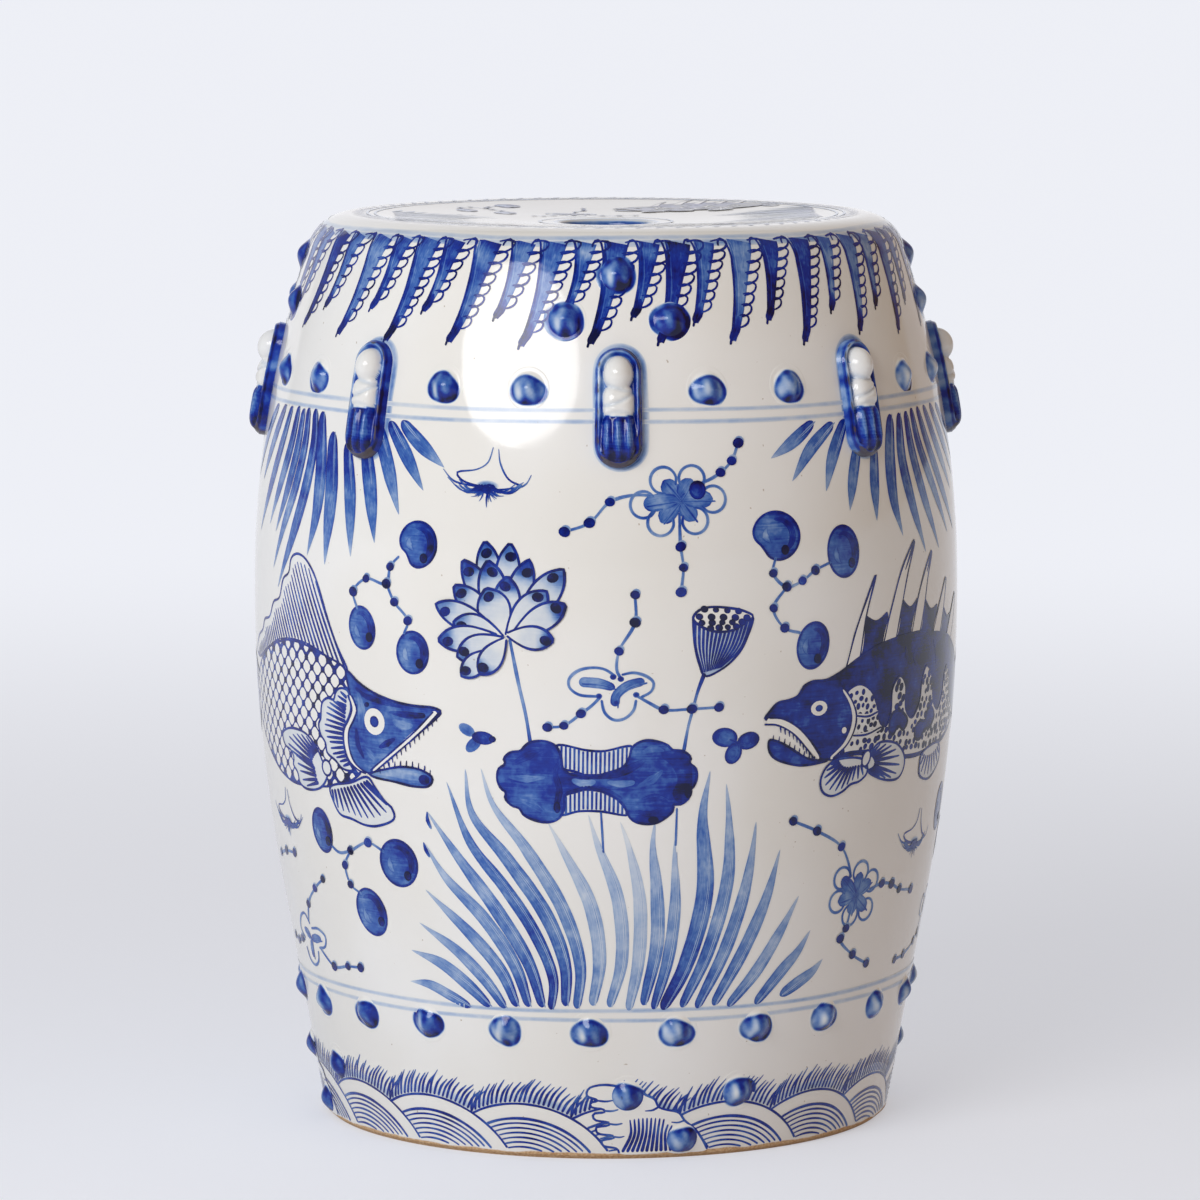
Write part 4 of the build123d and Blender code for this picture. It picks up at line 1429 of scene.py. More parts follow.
LEFT_CORE = (
    (((-68.6, 96.4), (-70.2, 99), (-71.6, 100.4)), (3.4, 5.0, 3.0)),
    (((-68.4, 96.4), (-66, 97.4), (-64, 98)), (3.4, 5.0, 3.0)),
    (((-68.6, 96), (-69, 91), (-69, 86.4)), (3.0, 4.6, 3.0)),
)
LEFT_CHAINS = (
    ((-68.4, 105, 0), (-66.8, 115), (-62.8, 124.7), (-59.3, 130.8)),
    ((-65, 93, 0), (-60.3, 85.6), (-55.5, 87.6), (-51.6, 88.5)),
    ((-72.4, 94, 0), (-74, 94), (-76.9, 91.8), (-80, 93)),
    ((-79, 136), (-74.3, 139), (-69.5, 140)),
)


def paint_bead_flowers():
    middle, top, right, left = (Painting() for _ in range(4))
    loop_flower(middle, MIDDLE_LOOPS, MIDDLE_CORE)
    beads(middle, *MIDDLE_CHAINS)
    for knot in MIDDLE_KNOTS:
        middle.dot(knot, 1.6, 1.4, 0.78, LINE + 0.03, rim=-0.3)
    ring_flower(top, TOP_CENTRE, TOP_RING, 6.4, (5.0, 8.6, 7.6))
    top.dot((12.6, 333.6), 4.2, 4.6, 0.84, DOT - 0.02)
    beads(top, *TOP_CHAINS)
    ring_flower(right, RIGHT_CENTRE, RIGHT_RING, 5.6, (4.6, 7.2, 6.4))
    beads(right, *RIGHT_CHAINS)
    loop_flower(left, LEFT_LOOPS, LEFT_CORE)
    beads(left, *LEFT_CHAINS)
    beads(right, FAR_CHAIN)
    far_core = [((FAR_CENTRE, (79, 106), (78, 108)), (4.0, 5.0, 3.0))]
    loop_flower(right, petal_ring(FAR_CENTRE, FAR_RING, 5.4), far_core)
    flowers = {"middle": middle, "top": top, "right": right, "left": left}
    return [("bead_flower_" + side, paint) for side, paint in flowers.items()]


NOTCH_BEARING = 2.3


def oval_leaf(paint, place, across, high, tilt=0.0, notch=0.0):
    """A duckweed leaf: mottled blue, a dark edge on the right and a black touch; a notch makes a kidney."""

    def at(bearing, level):
        off = (bearing + NOTCH_BEARING + math.pi) % (2 * math.pi) - math.pi
        level = level * (1 - notch * math.exp(-((off / 0.5) ** 2)))
        flat = np.array(((across * level * math.cos(bearing), high * level * math.sin(bearing)),))
        return shifted(place, *rotated(flat, tilt)[0])

    ring = [at(b, 1.0) for b in np.linspace(0, 2 * math.pi, 18, endpoint=False)]
    edge = [at(b, 0.70) for b in np.linspace(-1.0, 1.9, 8)]
    light = [at(b, 0.50) for b in np.linspace(2.6, 4.2, 5)]
    paint.fill(ring, 0.57, WASH, shade=(0.07, 0.03), rim=0.10, cell=2.2)
    paint.stroke(ring, 1.2, (0.80, 0.72, 0.82), LINE, step=1.4, closed=True)
    paint.stroke(edge, (1.0, 3.8, 3.2, 1.2), (0.72, 0.86, 0.80, 0.70), LINE, 5, soft=0.12)
    paint.stroke(light, (1.2, 4.4, 1.2), (0.50, 0.40, 0.50), LINE, 5, soft=-0.25)
    paint.dot(at(-0.85, 0.68), 2.2, 2.5, 0.94, DOT)


DUCKWEED = (
    (
        "duckweed_left_top",
        (
            ((-33.0, 305.2), 10.6, 11.2, -10, 0.3), ((-43.9, 262.2), 8.3, 10.4, 14),
            ((-33.8, 252.4), 9.0, 10.2, 0),
        ),
        (
            ((-36.4, 299, 0), (-38.1, 293.5), (-38.8, 285), (-43, 286.6), (-45.8, 279.5), (-44.8, 271, 0)),
            ((-38.8, 285), (-37.2, 276.4), (-34.6, 267.8), (-35.4, 261, 0)),
        ),
    ),
    (
        "duckweed_right_top",
        (
            ((25.8, 310), 13.0, 11.6, -12, 0.25), ((38.7, 300), 10.0, 12.6, 6),
            ((32.4, 255.4), 9.2, 11.4, -14),
        ),
        (
            ((25.6, 300, 0), (25, 292), (27.4, 285), (30.3, 287.4), (32.8, 292), (36, 295.4, 0)),
            ((27.4, 285), (25, 275), (27, 265), (30, 262, 0)),
        ),
    ),
    (
        "duckweed_left_low",
        (((-57.3, 156.6), 8.4, 11.0, 10), ((-38.8, 146.3), 11.4, 11.6, 0), ((-46.4, 119), 10.0, 11.8, 20),),
        (
            ((-55.6, 151, 0), (-53, 147, 0), (-49.8, 149), (-45.2, 154.7), (-41.6, 151, 0)),
            ((-49.8, 149), (-51.7, 141), (-50.9, 131.4), (-48.2, 127.4, 0)),
        ),
    ),
    (
        "duckweed_right_low", (((76.8, 159), 9.4, 12.0, 0), ((84, 140), 9.0, 11.0, 10),),
        (((78, 150, 0), (82, 150), (83.6, 147, 0)),),
    ),
)


def paint_duckweed():
    paintings = []
    for name, leaves, chains in DUCKWEED:
        paint = Painting()
        beads(paint, *chains)
        for leaf in leaves:
            oval_leaf(paint, *leaf)
        paintings.append((name, paint))
    return paintings


SHRIMP_WHISKERS = (
    ((0.8, 18.7), (0, 11.4), (-1.7, 8), (-5.3, 5.8), (-4.3, 2.4), (0, -1)),
    ((1.7, 18), (2.1, 11), (3.6, 3.5), (5.5, 0.7)), ((7.3, 6), (6.3, 1), (3.6, -1), (0, -2)),
    ((-7.8, 7.5), (-5.8, 2), (-1.3, -0.5)),
)


def paint_shrimp_weed(centre, size=1.0):
    """A tuft of weed: a few long whiskers and a mat of fine hairs."""
    paint = Painting()
    for path in SHRIMP_WHISKERS:
        path = [(centre[0] + a * size, centre[1] + b * size) for a, b in path]
        paint.stroke(path, (0.5, 0.9, 1.2), (0.45, 0.6, 0.75), LINE)
    for n in range(40):
        aside = rng.uniform(-1, 1)
        reach = rng.uniform(0.65, 1.1) * size
        root = (centre[0] + rng.uniform(-1.4, 1.4) * size, centre[1] + rng.uniform(-2, 1) * size)
        out, down = abs(aside), 1 - abs(aside)
        bend = (centre[0] + 4.2 * aside * reach, centre[1] - (2.6 + 2.4 * down) * reach)
        tip = (centre[0] + 7.4 * aside * reach, centre[1] + (4.5 * out - 9.5 * down) * reach)
        paint.stroke((root, bend, tip), (1.1, 0.8, 0.3), (0.76, 0.62, 0.45), LINE + 0.004 * n)
    paint.dot(centre, 6 * size, 2.8 * size, 0.46, WASH, rim=-0.4, rings=4)
    return paint


SMALL_LEAVES = (
    ((-24.4, 216.2), 4.6, 2.8, -28, 0.52, -0.18), ((-23.3, 209.2), 5.2, 2.9, 42, 0.58, -0.10),
    ((-21.7, 212.6), 5.8, 3.3, -6, 0.80, -0.05), ((-20.1, 212.2), 1.8, 1.6, 0, 0.98, 0.0),
    ((17.0, 213.0), 6.6, 4.8, -8, 0.56, 0.14), ((18.5, 204.8), 4.2, 5.4, -28, 0.62, 0.14),
    ((21.0, 210.8), 6.0, 4.3, 14, 0.66, 0.12), ((22.0, 211.4), 2.4, 2.6, 0, 0.80, -0.1),
)


def paint_small_leaves():
    """Two floating sprigs of three soft leaves."""
    paint = Painting()
    for n, (place, across, high, tilt, ink, rim) in enumerate(SMALL_LEAVES):
        paint.dot(place, across, high, ink, WASH + 0.02 * n, tilt, rim=rim, rings=4)
    paint.stroke(((17.8, 212), (19.2, 209.6), (19.4, 205.4)), (0.8, 1.8, 0.8), 0.80, DOT, soft=0.3)
    paint.stroke(((19.2, 209.6), (20.8, 208.6)), (1.2, 0.6), 0.78, DOT, soft=0.3)
    return paint


# Painted fish


def fin(paint, outline, rays, ink=0.07, lift=WASH):
    """A pale fin with an outline and rays; each ray is a short path."""
    paint.outlined(outline, ink, lift, 1.3, (0.72, 0.78, 0.72), lift + 0.06, rim=0.04)
    for ray in rays:
        paint.stroke(ray, (2.0, 1.7, 0.9), (0.80, 0.74, 0.62), lift + 0.05, step=2.2)


def spaced(path, count, margin):
    """Places spread evenly along a path, from a margin at its ends."""
    unit = np.array((Wall.scale(np.array(path)), 1))
    line = smooth(np.array(path) * unit)
    return resample(line, np.linspace(margin, 1 - margin, count) * run_length(line)[-1]) / unit


def fan_rays(root, edge, count, start=0.12, end=0.95):
    """Rays from near a root, a point or a line, to points spread along a fin's edge."""
    roots = np.linspace(*root, count) if np.ndim(root) == 2 else np.tile(root, (count, 1))
    rays = []
    for tip, root in zip(spaced(edge, count, 0.02), roots):
        rays.append([root + (tip - root) * share for share in (start, (start + end) / 2, end)])
    return rays


def teeth(paint, path, count, long, lift=OVER_LINE):
    """A row of small pointed teeth along a jaw; a long below zero points down."""
    for place in spaced(path, count, 0.06):
        paint.stroke((place, shifted(place, 0.4, long)), (1.0, 0.4), 0.86, lift)


def pale_band(paint, path, widths, aside, line, ink, lift):
    """A white band with a dark line down each side."""
    paint.stroke(path, widths, 0.0, lift - 0.02, columns=4)
    for side in (-1, 1):
        paint.stroke(moved(path, side * aside[0], side * aside[1]), line, ink, lift)


LEFT_CHEEK = ((-45.3, 191), (-47.4, 195.4), (-48.3, 203), (-48.1, 210))
LEFT_BODY = (
    (-47.6, 240), (-53.7, 246.6), (-59.3, 249.8), (-64, 250), (-70, 246), (-76, 239), (-82, 226),
    (-84, 215), (-82, 204), (-78, 193), (-71.4, 182), (-65.4, 177.8), (-58, 178.6), (-51.4, 181.5),
    (-47.2, 186), *LEFT_CHEEK, (-46.4, 218), (-46.9, 229),
)
LEFT_GILL = ((-46.9, 228), (-46.2, 223.6), (-46, 221), (-46.9, 215.5), *LEFT_CHEEK[::-1], (-43.6, 189.8))
LEFT_HEAD = (
    (-47.6, 240), (-44.8, 235), (-41.6, 230.7), (-38.3, 228), (-34.1, 226.3), (-30, 226), (-28.8, 224.4),
    (-30.2, 219.6), (-34.4, 209.8), (-39, 199.4), (-43.2, 190.2), *LEFT_CHEEK, (-46.9, 215.5), (-46, 221),
    (-46.9, 229),
)
LEFT_JAW = (
    (-43.4, 189.8), (-39.7, 193.3), (-36, 195.4), (-32.7, 194.4), (-30.8, 191), (-31.5, 187), (-34.1, 186),
    (-38.3, 187.4), (-42.5, 188.6),
)
LEFT_PLATE = (
    (-47.4, 230), (-49.3, 230.7), (-50.4, 228), (-50.9, 224.5), (-52.3, 225), (-53.9, 222.4), (-54.4, 218),
    (-54.6, 214), (-55.3, 211), (-54.9, 205.8), (-53.7, 202), (-53.5, 197.4), (-51.4, 194), (-49.7, 190.5),
    (-47.2, 190.5), (-48.6, 197), (-49, 204), (-48.7, 211), (-47.4, 217), (-46.8, 222),
)
LEFT_VENTRAL = (
    (-55.1, 193), (-56.5, 199), (-59.3, 204.4), (-63, 205.8), (-66.3, 204.4), (-68.4, 201), (-67.7, 196),
    (-65.4, 194), (-64.4, 190.5), (-64.9, 187), (-63.5, 183.6), (-63, 178.7), (-61.2, 176.4),
    (-57.4, 177.3), (-55.1, 180.8), (-53.8, 187),
)
LEFT_BOTTOM = (
    (-53.5, 179.4), (-52.8, 172.5), (-51.4, 167), (-48.6, 165.6), (-45.3, 163.5), (-42.5, 164),
    (-38.8, 169), (-39.2, 174), (-40.4, 176.6), (-42.5, 183.6), (-43.9, 188), (-47.6, 184.3),
)
LEFT_DORSAL = (
    (-47.4, 240), (-50, 253), (-52.3, 266.7), (-54.6, 280.6), (-56.5, 288), (-58.8, 292.8), (-61.2, 293.8),
    (-63, 291), (-63.8, 283.7), (-65.8, 280), (-67.4, 270), (-70, 267), (-72.1, 259), (-75.2, 256.3),
    (-76.6, 251), (-80.3, 246), (-83, 238), (-80, 236), (-73.3, 243), (-66.8, 249.4), (-59.3, 250.6),
    (-53.7, 247),
)
LEFT_TAIL = (
    (-82, 226), (-85, 232), (-89, 238), (-90.5, 226), (-89, 214), (-90.5, 204), (-88, 194), (-84, 204),
    (-83.4, 215),
)
LEFT_JAW_LINE = ((-29.6, 224.0), (-33.2, 213.4), (-38.2, 201.4), (-42.6, 191.6))
EYE_LEFT, EYE_RIGHT = (-41.7, 216.4), (33.8, 224.1)
LEFT_HEAD_POOLS = (
    (
        ((-45.6, 232), (-43.4, 228.6), (-40, 226.6), (-36, 225)), (1.4, 3.0, 2.4, 1.2),
        (0.76, 0.82, 0.78, 0.72),
    ),
    (((-38.6, 222), (-35, 221.4), (-31.6, 221.8)), (1.4, 3.6, 2.6), (0.70, 0.84, 0.98)),
    (((-41, 203.6), (-39.2, 206.4), (-37.6, 209)), (1.6, 3.6, 1.6), (0.74, 0.92, 0.76)),
    (((-45, 230), (-44.4, 222), (-44.8, 212)), (2.4, 5.4, 3.0), (0.56, 0.42, 0.52)),
    (((-38, 218), (-36, 216), (-34, 216.4)), (2.4, 5.0, 2.4), (0.54, 0.44, 0.54)),
    (((-44.4, 203), (-42.6, 199), (-41.6, 196)), (1.8, 4.2, 1.8), (0.56, 0.46, 0.56)),
    (((-45.8, 212), (-45.6, 204), (-44.4, 197)), (1.6, 3.4, 1.6), (0.72, 0.78, 0.74)),
)


def scale_tone(places):
    """Ink between the scales, fading towards the tail."""
    return 0.60 + 0.22 * rise(places[:, 0], -76, -50)


def paint_left_fish():
    """The netted fish: scaled body, tall dorsal fin, long open jaw."""
    paint = Painting()
    fin(paint, LEFT_TAIL, fan_rays((-82, 215), LEFT_TAIL[1:7], 12))
    fin(paint, LEFT_DORSAL, (), 0.02)
    paint.hatch(LEFT_DORSAL, 119, 2.9, (1.5, 1.6, 0.9), (0.76, 0.72, 0.60), LINE, trim=5)
    paint.fill(LEFT_BODY, scale_tone, LINE)
    paint.scales(LEFT_BODY, LINE + 0.02)
    paint.stroke(LEFT_BODY, 1.2, 0.78, LINE + 0.045, closed=True)
    plate = fan_rays(((-47.4, 226), (-47.6, 194)), LEFT_PLATE[1:14], 17, 0.10, 0.80)
    fin(paint, LEFT_PLATE, plate, 0.08, OVER + 0.02)
    ventral = fan_rays(((-55.4, 196), (-55.4, 182)), LEFT_VENTRAL[1:13], 14, 0.20, 0.84)
    fin(paint, LEFT_VENTRAL, ventral, 0.08, OVER)
    bottom = fan_rays(((-53.0, 179.5), (-44.6, 187)), LEFT_BOTTOM[1:9], 12, 0.06, 0.82)
    fin(paint, LEFT_BOTTOM, bottom, 0.06, OVER)
    ringed(paint, (-53.9, 189.4), 3.7, 3.9, OVER + 0.15)
    paint.fill(LEFT_HEAD, 0.58, OVER + 0.03, shade=(0.02, 0.04), rim=0.12, cell=2.2)
    for path, width, ink in LEFT_HEAD_POOLS:
        paint.stroke(path, width, ink, OVER + 0.05, columns=5, soft=0.12)
    paint.stroke(LEFT_HEAD, 1.3, 0.88, OVER + 0.09, closed=True)
    pale_band(paint, LEFT_GILL, (1.0, 3.0, 3.4, 2.6, 1.2), (1.7, 0.0), 1.0, 0.85, OVER + 0.12)
    pale_band(paint, LEFT_JAW_LINE, (3.0, 3.2, 2.6, 1.0), (1.7, 0.0), 0.9, 0.86, OVER + 0.12)
    teeth(paint, moved(LEFT_JAW_LINE, 1.9), 14, -2.8, OVER + 0.13)
    paint.outlined(LEFT_JAW, 0.38, OVER, 1.2, 0.9, OVER_LINE, shade=(0.12, -0.06), rim=0.16)
    paint.dot((-32.4, 189.8), 3.2, 2.6, 0.94, OVER + 0.03, rim=-0.2, rings=3)
    teeth(paint, LEFT_JAW[1:5], 8, 3.2)
    fish_eye(paint, EYE_LEFT, 6.6, 6.6, 0.44)
    paint.dot((-43.2, 224.4), 1.7, 1.2, 0.92, DOT, tilt=20)
    return paint


def ringed(paint, place, across, high, lift, tilt=0.0):
    """A white knot with a dark edge."""
    paint.dot(place, across + 0.6, high + 0.6, 0.80, lift, tilt)
    paint.dot(place, across - 0.6, high - 0.6, 0.06, lift + 0.01, tilt)


def fish_eye(paint, place, across, high, pupil):
    paint.dot(place, across, high, 0.0, OVER + 0.14)
    paint.dot(place, across * pupil, high * pupil, 0.62, OVER + 0.18, rim=0.16)


RIGHT_BROW = ((30.6, 235), (32.2, 237.6), (34.9, 237.6))
RIGHT_CHEEK = ((36.3, 198), (39.2, 204), (40.6, 209.6), (41.3, 216))
RIGHT_BODY = (
    *RIGHT_BROW, (37.3, 240), (39.7, 243.5), (42.1, 247), (45.9, 251), (48.8, 253), (53.6, 254.4),
    (58.4, 254.7), (63.2, 252.7), (66.8, 251.3), (72.8, 247), (79, 236), (82, 226), (83.4, 216), (81, 206),
    (72.8, 196), (66.6, 193.6), (60.8, 192), (55.5, 192.5), (45, 198), (40, 199), *RIGHT_CHEEK,
    (40.9, 221.7), (39.2, 227.4),
)
RIGHT_HEAD = (
    (23.8, 221), (24.6, 224.5), (26, 228.5), (27.9, 229.4), (29.6, 231), *RIGHT_BROW, (37.3, 239),
    (39.2, 231), (40.9, 223), *RIGHT_CHEEK[::-1], (34.4, 199), (31.5, 209), (29.1, 216), (26.2, 220.6),
)
RIGHT_GILL = ((38.6, 232), (40.4, 225), (41.3, 218), (41, 211.4), (39.6, 204.6), (36.6, 198.2))
RIGHT_SIDE = (
    (39.6, 230), (41, 233), (42.8, 233.4), (45.2, 229), (46.6, 222), (47.6, 213), (49.2, 210.4),
    (50.4, 216), (50.7, 229), (52.6, 234.5), (54.3, 229.5), (54.8, 217), (57, 212), (59.4, 219), (60, 230),
    (61.5, 236.6), (63.9, 230), (65.1, 217), (67.6, 212.4), (69.6, 219), (70.4, 229), (71.8, 233),
    (73.6, 227), (75, 216), (78, 210), (80.4, 206), (72.8, 197.4), (66.6, 195), (60.8, 193.2),
    (55.5, 193.7), (47, 199), (41, 200.4), (37.4, 199.4), (39.8, 204), (41.2, 209.6), (41.9, 216),
    (41.5, 221.7),
)
RIGHT_CLOUDS = (
    (
        (50.8, 216), (52.6, 217.4), (54.4, 215), (55.6, 211), (54.4, 207), (52.8, 209.4), (51.4, 205.6),
        (50.2, 208),
    ),
    (
        (58.4, 206), (60, 209.4), (62, 209), (62.8, 214), (64.4, 214.6), (66, 210), (64.6, 205), (62, 204),
        (60.4, 200), (58.6, 201.4),
    ),
)
RIGHT_BACK_MARKS = (
    ((54, 249), (54.6, 244), (55.6, 240)), ((57.6, 247.4), (57, 242.6), (58, 238)),
    ((45.6, 247), (46.4, 241), (47, 234)), ((64, 249), (65.4, 243), (65.6, 236)),
    ((40.6, 240), (43, 238.6), (45.4, 239)),
)
RIGHT_PLATES = (((41.9, 218), (44.6, 217), (47, 218.6)), ((41.2, 208.4), (44.4, 208), (48, 210.6)))
RIGHT_SPINES = (
    ((39.2, 243), (41.4, 262), (45.9, 287), (43.6, 268), (42.2, 247)),
    ((47.8, 252), (49.8, 269), (53.1, 288.6), (57.1, 300.7), (54.6, 285), (52.9, 271), (51.2, 254)),
    ((55.8, 254.4), (57.9, 272), (60.8, 286), (63.4, 293.6), (61.5, 281), (60.2, 268), (58.6, 254.4)),
    ((63.9, 253), (66.8, 267), (70.2, 278), (68.8, 264), (67, 251)),
    ((71, 249), (74, 260), (77.4, 268), (76, 256), (74, 246)),
)
RIGHT_WEBS = (
    ((42.1, 247), (43.3, 267), (45.9, 263.7), (48.8, 267.3), (47.8, 251)),
    ((51, 254), (52.6, 273), (55.3, 267.7), (57.7, 271.5), (55.8, 254)),
    ((58.4, 254), (60.1, 271), (62.7, 264.4), (65.6, 265.8), (63.9, 252)),
    ((67, 251), (69, 263), (71, 258), (73.4, 259), (71, 248)),
)
RIGHT_FINS = (
    (
        (
            (38, 197.4), (35.8, 194), (34.8, 187.5), (35.4, 182), (37.3, 179.4), (39.7, 181), (41.4, 184),
            (43.5, 185), (45.2, 189), (44.4, 195),
        ),
        ((38.6, 196.6), (44.2, 194.4)), 14,
    ),
    (
        (
            (45.2, 196), (47.4, 202.4), (50.7, 202.4), (53.6, 199), (55.5, 192.5), (55.4, 187), (54.1, 183),
            (50.7, 183), (47.4, 186), (45.4, 189.6),
        ),
        ((45.0, 197), (45.2, 190.6)), 14,
    ),
    (
        ((61.8, 192), (61.3, 186), (61.5, 182), (63.2, 179), (66.1, 178), (69, 181), (71, 186), (70, 194)),
        ((62.6, 192), (69.4, 193.6)), 10,
    ),
)
RIGHT_TAIL = (
    (81, 226), (84, 233), (88.4, 238), (89.6, 226), (88, 215), (89.6, 204), (87.4, 194), (83.6, 203),
    (82.4, 215),
)
RIGHT_LIP = ((24.1, 219.8), (26.4, 219), (29.1, 214.8), (31.4, 208.4), (34.2, 199))
RIGHT_JAW = (
    (24.7, 210.3), (24.6, 206), (25.4, 202), (27.2, 199), (30.6, 196.5), (33.9, 196.6), (36.3, 197.7),
    (33.9, 198.2), (31.5, 200.2), (28.9, 205), (26.7, 208.8),
)


def paint_right_fish():
    """The spotted fish: dark back, spined dorsal fin, marked panels down the side."""
    paint = Painting()
    fin(paint, RIGHT_TAIL, fan_rays((81, 215), RIGHT_TAIL[1:7], 12))
    for web in RIGHT_WEBS:
        paint.fill(web, 0.88, WASH, shade=(0, 0.04), rim=0.05)
        paint.stroke(web[1:4], 1.2, 0.88, LINE)
    for spine in RIGHT_SPINES:
        paint.fill(spine, 0.0, LINE + 0.02, cell=2.0)
        paint.stroke(spine, (1.0, 1.1, 1.5, 1.1, 1.0), 0.88, LINE + 0.05)
        inner = midway(spine[2], spine[-3])
        paint.stroke((inner, spine[len(spine) // 2]), (0.6, 1.8, 1.2), (0.8, 0.88, 0.9), LINE + 0.04)
    paint.outlined(RIGHT_BODY, 0.87, OVER, 1.3, 0.9, OVER + 0.03, shade=(0.03, 0.02), rim=0.05)
    paint.outlined(RIGHT_SIDE, 0.05, OVER + 0.05, 1.1, 0.86, OVER + 0.09, cell=2.4)
    paint.spots(RIGHT_SIDE[:6] + RIGHT_SIDE[30:], 4.0, 1.75, 0.90, OVER + 0.10)
    paint.spots(RIGHT_SIDE[5:31], 4.5, 2.0, 0.88, OVER + 0.10)
    for plate in RIGHT_PLATES:
        paint.stroke(plate, 2.4, 0.05, OVER + 0.11)
        paint.stroke(plate, 1.1, 0.84, OVER + 0.12)
    for cloud in RIGHT_CLOUDS:
        paint.outlined(cloud, 0.80, OVER + 0.115, 1.5, 1.0, OVER + 0.13, rim=0.05)
    for outline, root, count in RIGHT_FINS:
        fin(paint, outline, fan_rays(root, outline, count, 0.16, 0.86), 0.08, OVER + 0.12)
    ringed(paint, (44.7, 196), 2.9, 4.2, OVER + 0.20, -24)
    head = {"shade": (0.02, 0.05), "rim": 0.10, "cell": 2.2}
    paint.outlined(RIGHT_HEAD, 0.76, OVER + 0.04, 1.3, 0.9, OVER + 0.10, **head)
    paint.stroke(RIGHT_GILL, (0.8, 2.4, 2.8, 1.6), 0.02, OVER + 0.12, columns=4)
    paint.stroke(moved(RIGHT_GILL, 1.5), 1.0, 0.88, OVER + 0.14)
    pale_band(paint, RIGHT_LIP, (3.4, 3.8, 3.4, 1.4), (1.3, 1.5), 0.9, 0.88, OVER + 0.14)
    teeth(paint, moved(RIGHT_LIP[1:], -1.2, -1.6), 11, -3.0, OVER + 0.15)
    paint.outlined(RIGHT_JAW, 0.62, OVER, 1.2, 0.88, OVER_LINE, rim=0.1)
    teeth(paint, (RIGHT_JAW[0], *RIGHT_JAW[:-5:-1]), 9, 2.8)
    fish_eye(paint, EYE_RIGHT, 5.0, 3.7, 0.46)
    for mark in RIGHT_BACK_MARKS:
        paint.stroke(mark, (1.2, 3.2, 1.4), (0.80, 0.92, 0.82), OVER + 0.035, 5, soft=0.12)
    paint.dot((39.2, 211.7), 1.6, 1.6, 0.0, OVER + 0.16)
    return paint


# Laying the painting on the wall, where it comes twice, front and back, and on the seat

SEAT_MOTIFS = (
    ("spotted_fish", (56, 222), 0.42, 0, (48, 74)), ("netted_fish", (-58, 222), 0.42, 180, (-46, -76)),
    ("weed_fan_low", (0, 130), 0.44, -90, (-84, -14)), ("weed_fan_low", (0, 130), 0.44, 90, (84, 10)),
    ("duckweed_left_top", (-38, 280), 0.62, 0, (-58, 66)),
    ("duckweed_right_top", (31, 282), 0.62, 180, (60, -64)),
    ("bead_flower_middle", (1, 245), 0.62, 0, (-12, 52)),
    ("bead_flower_top", (8, 322), 0.55, 180, (14, -54)),
)
SEAT_TOUCH = ((128.4, 0), (125, 0.018), (121.6, 0.045))


def paint_seat(motifs):
    """A pond round the hole, with three ring lines and a row of small touches along the edge."""
    paint = Painting(Seat)

    def at(radius, t):
        return radius * math.sin(t), -radius * math.cos(t)

    for radius, width in ((dish_radius + 0.4, 1.4), (dish_radius - 3.5, 1.4), (HOLE_RADIUS + 11, 1.6)):
        ring = [at(radius, t) for t in np.radians(np.arange(0, 360, 6))]
        paint.stroke(ring, width, 0.34 + rng.uniform(-0.08, 0.08, 30), LINE, closed=True)
    for t in np.radians(np.arange(0, 360, 4.5)):
        touch = [at(radius, t + turn) for radius, turn in SEAT_TOUCH]
        paint.stroke(touch, (1.0, 2.6, 0.8), (0.8, 0.6, 0.5), LINE)
    for name, *layout in SEAT_MOTIFS:
        paint.copy(motifs[name], *layout)
    paint.build("seat_pond")


def paint_pond():
    scenes = [
        ("weed_fan_low", paint_fan(POND_FAN, POND_TIPS)),
        ("weed_fan_left", paint_fan(LEFT_FAN)),
        ("weed_fan_right", paint_fan(RIGHT_FAN)),
        ("lotus_flower", paint_lotus()),
        ("lotus_leaf", paint_leaf()),
        ("seed_pod", paint_pod()),
        *paint_bead_flowers(),
        *paint_duckweed(),
        ("weed_tuft_middle", paint_shrimp_weed((-21.2, 335))),
        ("weed_tuft_right", paint_shrimp_weed((63.2, 147), 0.9)),
        ("weed_tuft_left", paint_shrimp_weed((-70.6, 156.6), 0.9)),
        ("small_leaves", paint_small_leaves()),
        ("netted_fish", paint_left_fish()),
        ("spotted_fish", paint_right_fish()),
    ]
    for name, paint in scenes:
        paint.build(name + "_front")
        paint.build(name + "_back", 180)
    paint_seat(dict(scenes))


paint_rings()
paint_feathers()
paint_waves()
paint_pond()

# Camera, from the photograph's vanishing and the stool's size

PHOTO_SIDE = 1200
FOCAL_PIXELS = 6470
CAMERA_DISTANCE, CAMERA_HEIGHT = 3.268, 0.658
CAMERA_AZIMUTH, CAMERA_PITCH = math.radians(-2.0), math.radians(6.95)
AXIS_COLUMN = 606


def make_camera():
    data = bpy.data.cameras.new("camera")
    data.sensor_width = 36.0
    data.lens = data.sensor_width * FOCAL_PIXELS / PHOTO_SIDE
    camera = add_object("camera", data)
    across, away = math.sin(CAMERA_AZIMUTH) * CAMERA_DISTANCE, math.cos(CAMERA_AZIMUTH) * CAMERA_DISTANCE
    camera.location = (across, -away, CAMERA_HEIGHT)
    yaw = CAMERA_AZIMUTH + (AXIS_COLUMN - PHOTO_SIDE / 2) / FOCAL_PIXELS
    camera.rotation_euler = (math.pi / 2 - CAMERA_PITCH, 0, yaw)
    bpy.context.scene.camera = camera


# Floor and light

BACKGROUND = (0.832, 0.850, 0.905)
FLOOR_RADIUS, FLOOR_SIDES, FLOOR_GLOW = 40.0, 96, 1.17
GLOW_NEAR, GLOW_FAR = 0.42, 0.80
GLOW_START, GLOW_END = 0.4, 2.6


